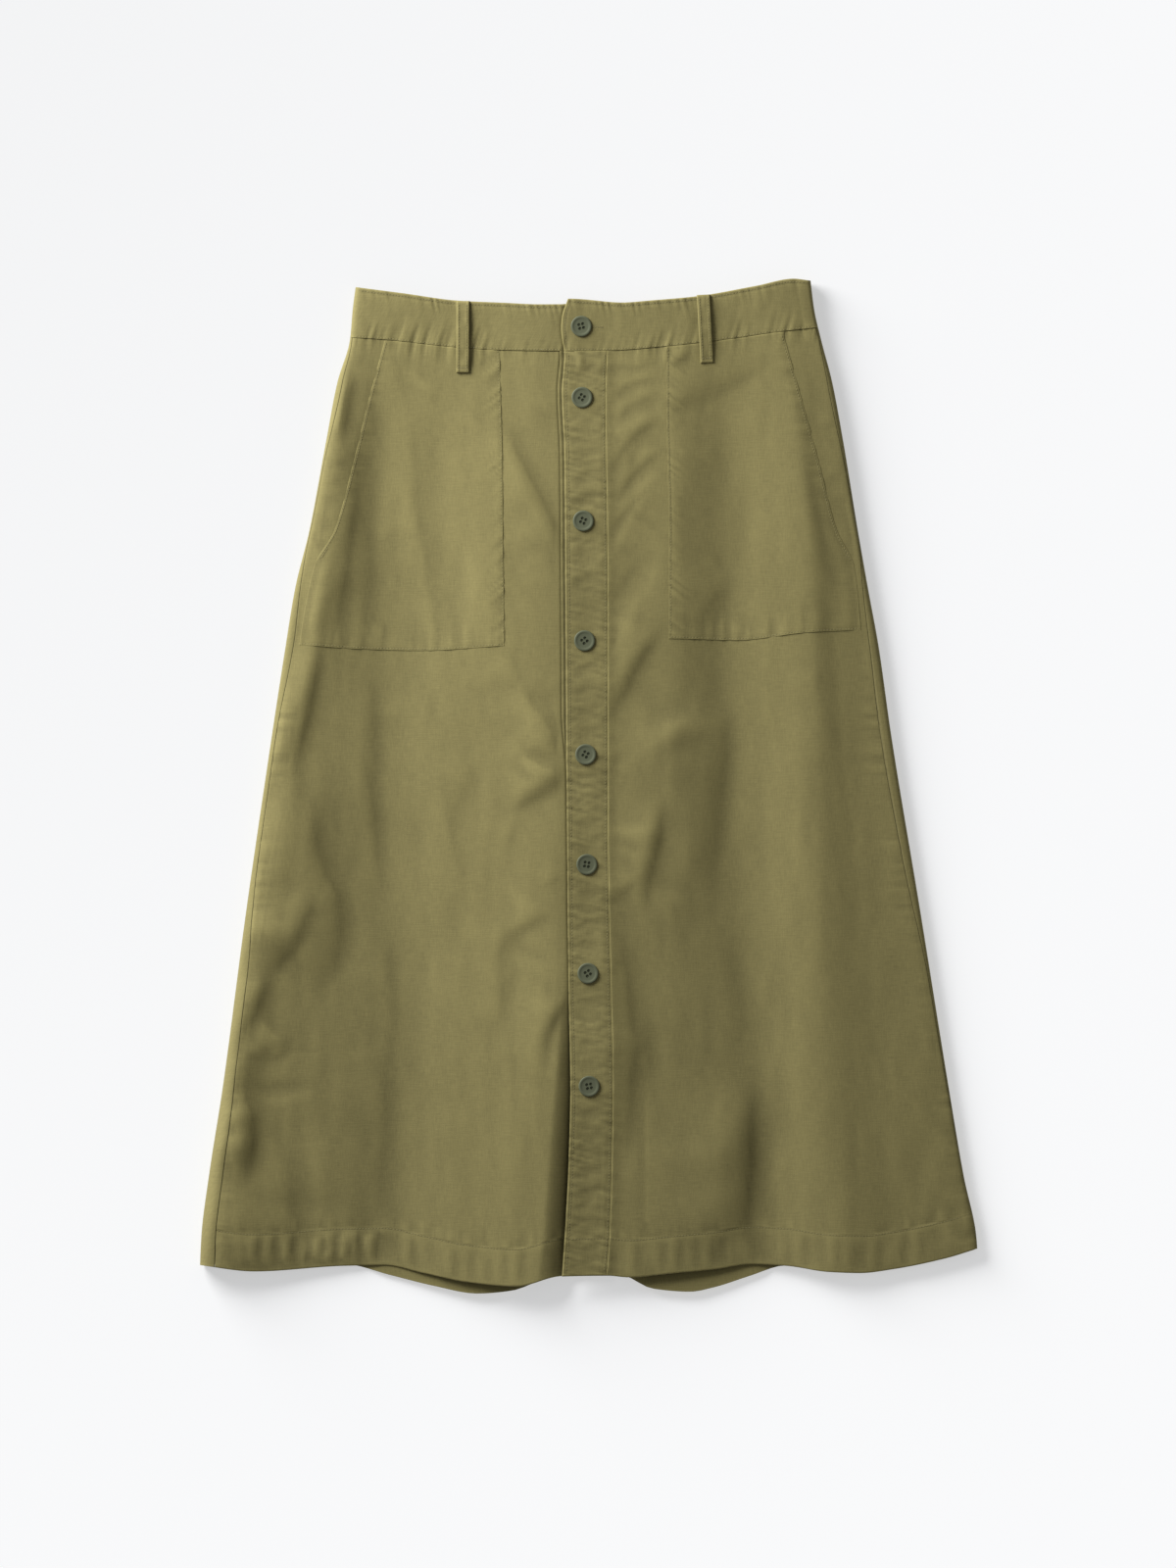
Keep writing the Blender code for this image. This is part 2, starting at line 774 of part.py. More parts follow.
def main():
    clear_scene()
    twill = finish("olive twill", (0.205, 0.180, 0.078), 0.85)
    horn = finish("olive button", (0.115, 0.125, 0.085), 0.45)
    panel("back_panel", back_row, twill)
    right = panel("front_panel_right", right_front_row, twill)
    left = panel("front_panel_left", left_front_row, twill)
    cloth("placket", [placket_row(row) for row in range(ROWS + 1)], PLACKET_WALL, twill, outward=True)
    side_count = len(right[0]) - (POCKET_STEPS + CENTRE_STEPS + PLACKET_STEPS + 1)
    cloth("pocket_right", pocket_rows(right, side_count), POCKET_WALL, twill, outward=True)
    cloth("pocket_left", pocket_rows(left, CENTRE_STEPS), POCKET_WALL, twill, outward=True)
    cloth("waistband", [waistband_row(row) for row in range(BAND_ROWS + 1)], WAISTBAND_WALL, twill)
    for name, *places in FRONT_LOOPS:
        front_loop(name, *places, twill)
    for name, centre in BACK_LOOPS:
        back_loop(name, centre, twill)
    mesh = button_mesh(horn)
    for k, y in enumerate(BUTTON_HEIGHTS_DOWN):
        lift = WAISTBAND_LIFT if k == 0 else PLACKET_LIFT
        seat_button(f"button_{k + 1}", mesh, y, lift)


main()
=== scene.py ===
"""An A-line utility skirt of olive twill, buttoned down its front and laid flat on its back.

Lengths are in millimetres until a mesh is made. +X is to the right of the laid skirt, +Y towards
its waist, and +Z up from the surface it lies on. Left and right in names are the wearer's.
"""

import math

import bpy
import numpy as np
from mathutils import Matrix, Vector
from mathutils.bvhtree import BVHTree


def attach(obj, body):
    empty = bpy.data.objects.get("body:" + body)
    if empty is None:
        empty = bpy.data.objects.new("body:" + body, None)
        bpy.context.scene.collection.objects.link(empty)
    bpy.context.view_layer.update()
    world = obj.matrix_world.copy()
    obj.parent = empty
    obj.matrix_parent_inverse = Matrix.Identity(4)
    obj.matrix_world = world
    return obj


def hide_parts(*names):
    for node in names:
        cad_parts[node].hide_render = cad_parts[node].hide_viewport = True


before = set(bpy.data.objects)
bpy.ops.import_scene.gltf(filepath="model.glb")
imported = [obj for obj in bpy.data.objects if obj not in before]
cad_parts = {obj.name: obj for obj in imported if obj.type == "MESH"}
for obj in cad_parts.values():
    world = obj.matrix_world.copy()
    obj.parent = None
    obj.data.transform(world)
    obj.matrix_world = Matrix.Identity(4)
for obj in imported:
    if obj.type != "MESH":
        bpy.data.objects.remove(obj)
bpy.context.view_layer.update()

MM = 0.001
RIGHT, LEFT = -1, 1
BODY = "root"
UP = math.pi / 2

# Walls as they show, a little thinner than the solids
PANEL_WALL = 0.9
SEAM_WALL = 0.22
PLACKET_EDGE_WALL = 0.75
POCKET_WALL = 0.36
BAND_WALL = 1.6
LOOP_WALL = 1.1
HEM_EXTRA = 0.3
HEM_DEPTH = 30.0
BAND_WIDTH = 36.0

# Gaps at the seams, and how far the placket laps over its own
SEAM_GAP = 0.06
SEAM_LAP = 0.8
SIDE_SEAM_GAP = 0.1

# The sheets' grids: usual distances down a panel, steps, and closer places at edges and seams
UPPER_LENGTH, LOWER_LENGTH = 235, 458
PANEL_STEP, BACK_STEP, HEM_STEP, PLACKET_STEP, POCKET_STEP = 2.6, 5.0, 2.2, 1.9, 2.4
DIP_STEP, UNDERLAP_STEP = 0.9, 2.4
BAND_ROW_STEP, BAND_STEP, BAND_BACK_STEP, BAND_END_STEP = 1.5, 1.2, 4.0, 3.0
PLACKET_WIDTH_STEP, LOOP_STEP, LOOP_WIDTH_STEP = 1.4, 1.4, 1.1
EDGE = (0.25, 0.6, 1.1, 1.8, 2.8)
SEAM = (0.5, 1.2, 2.2)
LEDGE_SHARES = (0, 0.1, 0.25, 0.5, 0.75, 0.9, 1)
SIDE_SHARES = 1 - (1 - np.linspace(0, 1, 22)[:-1]) ** 1.4
UNDER_SHARES = (np.linspace(0, 1, 24) ** 1.5)[:-1]
BAND_TURNS = np.linspace(UP, -UP, 21)

# How high the outer face of each upper piece lies over the outer face of the front panels
PLACKET_LIFT = 0.9
WAISTBAND_LIFT = 0.6
POCKET_LIFT = 0.44
LOOP_CLEARANCE = 0.8
LOOP_LIFT = WAISTBAND_LIFT + LOOP_CLEARANCE + LOOP_WALL
LOOP_BOW = 1.5
LOOP_WIDTH = 10.0

# The ledge of the placket's under layer: least width, the rest at the top, and where it tapers
LEDGE_LEAST, LEDGE = 0.05, 3.4
LEDGE_FOOT, LEDGE_TAPER = 8.0, 50.0

# Puckers along each seam and edge: seed, spacing, reach, height and slant
PUCKERS = {
    "waist": (21, 6.4, 9, 0.4, 0.15),
    "placket's waist": (21, 6.4, 8, 0.4, 0.15),
    "band's seam": (21, 6.4, 11, 0.42, -0.3),
    "band's top": (125, 4.6, 8, 0.42, -0.2),
    "side seam": (31, 9, 12, 0.35, 0),
    "hem": (43, 9, 8, 0.22, 0),
    "placket's seam": (61, 5.2, 10, 0.32, -0.3),
    "front's placket seam": (61, 5.2, 10, 0.32, 0.3),
    "placket's edge": (71, 4.8, 13, 0.44, 0.25),
    "pocket's foot": (95, 8, 13, 0.34, 0),
    "pocket's side": (101, 6.4, 9, 0.36, 0.7),
    "pocket's opening": (105, 9, 9, 0.18, 0),
}

# How each folded edge or seam rolls down: from how far in, and how far
ROLLS = {
    "waist": (0.7, 0.22),
    "side seam": (0.8, 0.15),
    "hem": (1.3, 0.8),
    "front's placket seam": (0.4, 0.1),
    "placket's edge": (0.5, 0.3),
    "ledge": (0.5, 0.12),
    "pocket's waist": (0.9, 0.4),
    "pocket's foot": (0.7, 0.4),
    ("pocket's side", RIGHT): (0.7, 0.4),
    ("pocket's side", LEFT): (0.7, 0.12),
    ("pocket's opening", RIGHT): (1.6, 0.25),
    ("pocket's opening", LEFT): (1.6, 0.12),
    "band's top": (1.3, 0.8),
    "band's seam": (0.6, 0.22),
    "band's end": (0.8, 0.5),
    "loop's side": (1.0, 0.5),
    "loop's top": (2.0, 1.4),
    "loop's foot": (1.3, 0.9),
    "flat loop": (0.8, 0.3),
}

# Narrow stripes beside edges: depth or wear, how far in they lie, and width
STRIPES = {
    "hem's groove": (0.16, -1.2, 0.8),
    "placket's groove": (0.12, 3.0, 0.8),
    "pocket's groove": (0.14, 1.6, 0.7),
    "band seam's groove": (0.1, 1.2, 0.6),
    "band top's groove": (0.2, 2.4, 0.8),
    "band end's groove": (0.18, 3.0, 0.8),
    "loop's groove": (0.3, 4.0, 0.9),
    "front beside the placket": (0.78, 0, 4.5),
    "front hem's wear": (0.5, 0, 1.2),
    "back hem's wear": (0.4, 0, 1.2),
    "opening's wear": (0.16, 0.6, 1.0),
    "foot's wear": (0.3, 1.8, 0.8),
    "band top's wear": (0.4, 0, 1.3),
    "band seam's wear": (0.25, 0.8, 1.0),
    "band end's wear": (0.25, 0, 0.8),
    "loop side's wear": (0.12, 0, 1.0),
    "loop foot's wear": (0.2, 0, 1.0),
}

# Painted shade in the crevices right at the seams: how dark, and how wide
SHADES = {
    "side seam": (2, 0.6), "waist": (1.2, 0.8), "pocket's side": (1.4, 0.55),
    "pocket's foot": (0.6, 0.55),
}

# The form of a crease, by its half width: places along it, reach, foot, brow and fading
CREASE_PITCH, CREASE_REACH = 0.8, 8
CREASE_FOOT, CREASE_BROW, CREASE_FADE = 1.2, 0.5, 3.4
CREASE_ENDS = 0.34
CREASE_STRENGTH, PLACKET_CREASE_STRENGTH = 1.35, 1.5

# Rows of stitches: how far they lie in from the edge, seam or turning beside them, and where the
# long ones beside the placket start and end
HEM_STITCH, EDGE_STITCH, SEAM_STITCH = 1.2, 3.2, 2.2
STITCHES_TOP, STITCHES_FOOT = 337, -380
FOOT_STITCH, INNER_STITCH, OPENING_STITCH, OPENING_TACK = 1.6, 1.5, 1.8, 3.2
BAND_SEAM_STITCH, BAND_TOP_STITCH, BAND_END_STITCH = 1.3, 2.5, 3.0

# The belt loops' places
FRONT_LOOPS = (
    # name, node, top, foot
    ("loop_front_right", "belt_loop_front_right", (-98.2, 378.6), (-98.4, 322.4)),
    ("loop_front_left", "belt_loop_front_left", (89.2, 383.4), (92.2, 330.0)),
)
BACK_LOOPS = (
    # name, node, centre
    ("loop_back_right", "belt_loop_back_right", -104.0),
    ("loop_back_centre", "belt_loop_back_centre", -4.0),
    ("loop_back_left", "belt_loop_back_left", 96.0),
)
BACK_LOOP_LENGTH = 54.0

# The waist end of the back rides on its belt loops
BACK_LOOP_LIFT = 1.5
BACK_LIFT_FROM, BACK_LIFT_TO = 312.0, 255.0
BACK_WAIST_DROP = 1.5

# The back's hem inside the front's arches: how much of the front's height it curls up to, how
# far below the front's hem it shows in full, and how far up the curl reaches
HEM_CURL, CURL_SHOWN, CURL_REACH = 0.42, 7, 45

# A turned hem: its extra thickness, and how much it swells between its stitches and its edge
HEM_LIFT, HEM_SWELL = 0.16, 0.42

# The pockets' openings are sewn shut at their foot: from here, over this height and width
OPENING_FOOT, OPENING_TAPER, OPENING_WIDTH = 188, 16, 12

# Washed cloth with painted shade in its low folds: how much paler it is for each millimetre above
# its middle height, and darker below it
FADE_AND_SHADE, FADING_MIDDLE = 0.07, 11

# The waistband's upper end stands proud of its lower one: how far, and how long it takes to settle
BAND_END_PROUD, BAND_END_LENGTH = 0.6, 22

# Outline of the laid skirt: its side folds at each height
SIDE_FOLDS = (
    # y, left fold x, right fold x
    (395, -181.2, 173),
    (372, -184.2, 175.9),
    (348, -186.4, 181.4),
    (315, -196.2, 190),
    (270, -204.8, 198.4),
    (200, -217.9, 209.9),
    (155, -229, 217.8),
    (109, -236.6, 226.2),
    (40, -247.2, 236),
    (-98, -267.4, 258.8),
    (-235, -285.6, 280.9),
    (-304, -296.4, 292.6),
    (-350, -302.2, 302.3),
    (-380, -303.6, 304.4),
)

# Top edge, waistband seam, pocket foot and hems, across the skirt
WAIST_TOP = (  # x, y
    (-181.6, 389.4), (-145, 384.6), (-102, 378.8), (-66, 377.1), (-39, 375.9), (15, 376.5),
    (51, 379.1), (83, 382), (130, 390.2), (160, 395.9), (173, 394.4),
)
WAIST_SEAM = (  # x, y
    (-186, 350), (-158, 348.2), (-105, 342.5), (-70, 340.1), (-20, 339.3), (16, 339.7),
    (60, 343), (115, 349.6), (145, 354), (178, 357.6),
)
POCKET_FOOT = (  # x, y
    (-236, 111), (-178, 106.8), (-130, 105.6), (-65, 109.3), (62, 114.9), (114, 113.6),
    (174, 120), (224, 122),
)
FRONT_HEM = (  # x, y
    (-303.5, -373.4), (-260, -378.4), (-190, -374.2), (-160, -373.8), (-129, -379.9),
    (-95, -386.8), (-57, -390), (-21, -382.2), (15, -381.7), (31, -383), (66, -379.9),
    (99, -376.8), (127, -373), (154, -374.2), (187, -378.8), (212, -379.7), (237, -376.8),
    (278, -368.4), (303, -360.8),
)
BACK_HEM = (  # x, y
    (-303.5, -373.4), (-190, -373.2), (-154, -381.7), (-121, -389.8), (-87, -395.8),
    (-61, -393.7), (-31, -383.7), (12, -378), (31, -383), (50, -392), (79, -394.4),
    (99, -390.6), (124, -382.6), (154, -374), (212, -376), (278, -366), (303, -360.8),
)

# The pockets' openings and inner edges, and on below them
POCKET_LINES = (
    # y, right opening, right pocket, left pocket, left opening
    (350, -158.5, -69.9, 60.6, 152.6),
    (300, -172, -68.4, 60.6, 166.6),
    (255, -183, -67.1, 61.4, 179),
    (200, -198.5, -66.6, 62.5, 193.6),
    (172, -214, -66.2, 62.5, 207),
    (110, -226, -65.4, 62.5, 213.5),
    (36, -236, -66, 64, 221),
    (-100, -249, -68, 66, 243),
)
OPENING_COLUMN, INNER_COLUMN = {RIGHT: 1, LEFT: 4}, {RIGHT: 2, LEFT: 3}

# The placket's free edge, which the waistband's end carries on, and its seam
PLACKET_EDGE = (  # y, x
    (380.5, -16.2), (366, -20.9), (357, -21.6), (335, -19), (309, -20.9), (257, -18.9),
    (155, -18.2), (-151, -15.9), (-234, -14.4), (-300, -15.9), (-333, -17.6), (-382, -20.8),
)
PLACKET_SEAM = (  # y, x
    (350, 15.2), (305, 13.5), (155, 15.1), (-21, 15.1), (-151, 17.3), (-234, 18.9),
    (-300, 18.1), (-350, 16.5), (-382, 14),
)

# Side seams: how far in from the fold they lie on the front
SIDE_SEAMS = (
    # y, right seam, left seam
    (350, 1.5, 1.5),
    (305, 4.5, 4),
    (250, 1.5, 2),
    (195, 1, 0.4),
    (155, 4, 4),
    (110, 6, 7),
    (36, 3.5, 8.5),
    (-60, 4, 7),
    (-150, 8, 2.2),
    (-212, 8.5, 1.5),
    (-280, 11, 0.4),
    (-395, 12, 0.2),
)

# The front's main folds: the place and the height of each long crest or valley at seven stations
FOLD_STATIONS = (392, 345, 240, 110, -60, -210, -385)
FOLDS = (
    # name, x at each station, height at each station
    ("right crest", (-174, -180, -203, -217, -246, -269, -289),
     (9.8, 11.2, 11.2, 11.4, 12.6, 14.2, 14.2)),
    ("right shoulder", (-164, -170, -188, -203, -226, -247, -262),
     (10.2, 11, 9.9, 9.6, 10.4, 10.7, 11.4)),
    ("right valley", (-150, -158, -169, -161, -159, -150, -156),
     (10.8, 10.6, 7.2, 5.8, 4.9, 4, 3.6)),
    ("right rise", (-110, -118, -130, -112, -104, -100, -100),
     (11.5, 11, 10.7, 11.2, 10.9, 10.2, 9.6)),
    ("right crown", (-42, -40, -34, -30, -28, -28, -30),
     (13.4, 14.2, 16.1, 17.6, 18, 17.6, 16.4)),
    ("placket", (0, 0, 0, 0, 2, 4, -2),
     (13.5, 13.4, 15, 15.8, 15.6, 15, 13.4)),
    ("left slope", (60, 60, 64, 62, 62, 66, 70),
     (13.8, 13.2, 13.9, 13.7, 12.5, 11, 10)),
    ("left valley", (104, 106, 110, 106, 112, 129, 138),
     (12.6, 11.4, 9.4, 7.6, 6.2, 5.6, 4.8)),
    ("left crown", (140, 150, 166, 174, 178, 184, 192),
     (13.2, 12.8, 14.2, 14.4, 13.9, 12.9, 11.8)),
    ("left shelf", (152, 162, 179, 193, 210, 228, 248),
     (12.9, 12.4, 12.3, 11.3, 10.4, 9.6, 8.6)),
    ("left brow", (163, 171, 191, 213, 240, 267, 295),
     (12.3, 11.9, 11.3, 10, 9.2, 8.8, 8.6)),
)

# The side folds' round: below, how high its middle lies, and how blunt it is above
UNDER_ROLL = 4.0
FOLD_MIDDLE = 0.44
FOLD_BLUNT_X = {RIGHT: 0.6, LEFT: 0.2}
FOLD_BLUNT_Z = 2 / 2.3
FOLD_FALL = {RIGHT: 0, LEFT: 0.05}

# The right front dips where it runs under the placket's edge
UNDERLAP_DIP = (
    # y, depth, width of the dip beside the placket's edge
    (395, 0.3, 2.5),
    (-90, 0.3, 2.5),
    (-150, 0.7, 4),
    (-200, 4.6, 9),
    (-260, 7.6, 14),
    (-395, 9.4, 19),
)
WAISTBAND_DIP = 0.4
UNDERLAP_SINK = 1.0
UNDERLAP_SHORT = 1.0
UNDERLAP_PAST, UNDERLAP_TURN = 3, 3.6
OVERLAP_RISE = 4.2
OVERLAP_RISE_LENGTH = 50.0

# Folds and creases: half width, how far the cloth drops across it from the side nearer the
# waist's right corner (or climbs, below 0), then x and y of each point of its path

# Broad soft folds
FORMS = (
    # right side and pocket
    (6.5, 3.4, -182, 328, -185, 304, -189, 280, -193, 262),
    (10, 1.9, -160, 340, -165, 300, -167, 260, -168, 220, -169, 180, -169, 140, -168, 100),
    (7.5, 2.2, -182, 292, -180, 256, -182, 218, -186, 185, -189, 150, -194, 100),
    (9, -2.6, -194, 240, -199, 212, -206, 180, -212, 142, -218, 105, -225, 68, -233, 28),
    (6, 2.4, -206, 116, -212, 80, -218, 50, -227, 18, -236, -4),
    (6, 0.8, -136, 305, -135, 262, -132, 220, -127, 180, -121, 142, -117, 108),
    (19, -3.4, -97, 312, -91, 262, -90, 200, -86, 130, -80, 60),
    (8, 1.4, -170, 104, -168, 60, -166, 20, -165, -20, -163, -62, -158, -100),
    # right front, beside the side fold
    (10, -1.6, -230, 30, -236, 0, -243, -40, -248, -80),
    (11, 3.8, -212, 4, -209, -36, -202, -62, -193, -88, -190, -112, -195, -138, -208, -156,
     -228, -164),
    (7.5, 2, -212, -78, -218, -98, -224, -115, -232, -130, -242, -143, -253, -151),
    (7, 3.4, -250, -146, -253, -162, -259, -180, -269, -204),
    (5, 0.9, -274, -208, -256, -214, -240, -210, -229, -194),
    (7.5, 4.4, -269, -196, -264, -218, -266, -238, -260, -257, -259, -276, -263, -296, -275, -320),
    (19, 6, -250, -232, -243, -268, -235, -300, -226, -330, -217, -378),
    (9, 0.9, -264, -350, -215, -355, -168, -351),
    (13, 1.4, -172, -250, -173, -290, -174, -340, -175, -378),
    (13, 1.6, -276, -312, -250, -322, -215, -326, -182, -322),
    (8, 1.1, -160, -96, -155, -130, -151, -170, -150, -210),
    (9, 1.5, -160, -190, -158, -250, -161, -300, -166, -360),
    # right front, beside the placket
    (6, 2.2, -68, 292, -58, 267, -47, 247, -37, 228, -26, 206, -18, 184, -14, 166),
    (5, 1.6, -50, 84, -42, 64, -32, 50, -25, 34, -22, 18),
    (5, 1.5, -17, 22, -22, 4, -32, -6, -46, -14, -62, -20),
    (8, 1, -82, 22, -92, 4, -101, -16, -104, -44),
    (7, 1.1, -62, -104, -67, -130, -67, -160, -64, -196),
    (6, 1, -24, -100, -38, -106, -56, -118, -66, -140),
    (5, 1.5, -13, -156, -22, -178, -32, -202, -36, -232),
    # left front, above the pocket's foot
    (9, 1.2, 50, 284, 82, 299, 110, 311, 134, 324, 148, 342),
    (6, -0.9, 16, 160, 24, 188, 33, 210, 43, 230, 54, 250, 62, 262),
    (8, -1.1, 15, 88, 25, 116, 36, 138, 47, 158, 56, 178, 61, 204),
    (5.5, 1.5, 12, 42, 21, 60, 31, 79, 42, 98, 53, 115, 60, 134),
    (7, 0.8, 97, 116, 103, 134, 109, 152, 112, 176),
    (6, 1.2, 170, 268, 175, 232, 181, 200, 188, 166, 195, 134),
    (8, 0.8, 190, 240, 198, 200, 206, 150, 212, 100),
    # left front, below it
    (8, -1, 88, 76, 78, 58, 66, 44, 50, 32, 34, 20, 18, 4),
    (11, 2.7, 84, 104, 98, 76, 109, 50, 110, 20, 106, -14, 101, -50, 99, -84, 101, -118),
    (10, 1.4, 104, -96, 110, -130, 117, -164, 122, -200, 128, -232),
    (10, 5, 128, -214, 130, -250, 130, -282, 128, -312, 127, -342, 125, -378),
    (12, 1.6, 110, -260, 112, -300, 110, -340, 106, -378),
    (5.5, 2.3, 58, -4, 58, -34, 54, -56, 49, -74, 44, -104),
    (4, 0.8, 12, -90, 26, -83, 42, -71),
    (9.5, 3.7, 19, -82, 24, -106, 30, -134, 35, -168, 38, -204, 37, -240, 33, -272, 26, -304),
    (6, 1.4, 46, -182, 49, -206, 51, -230),
)

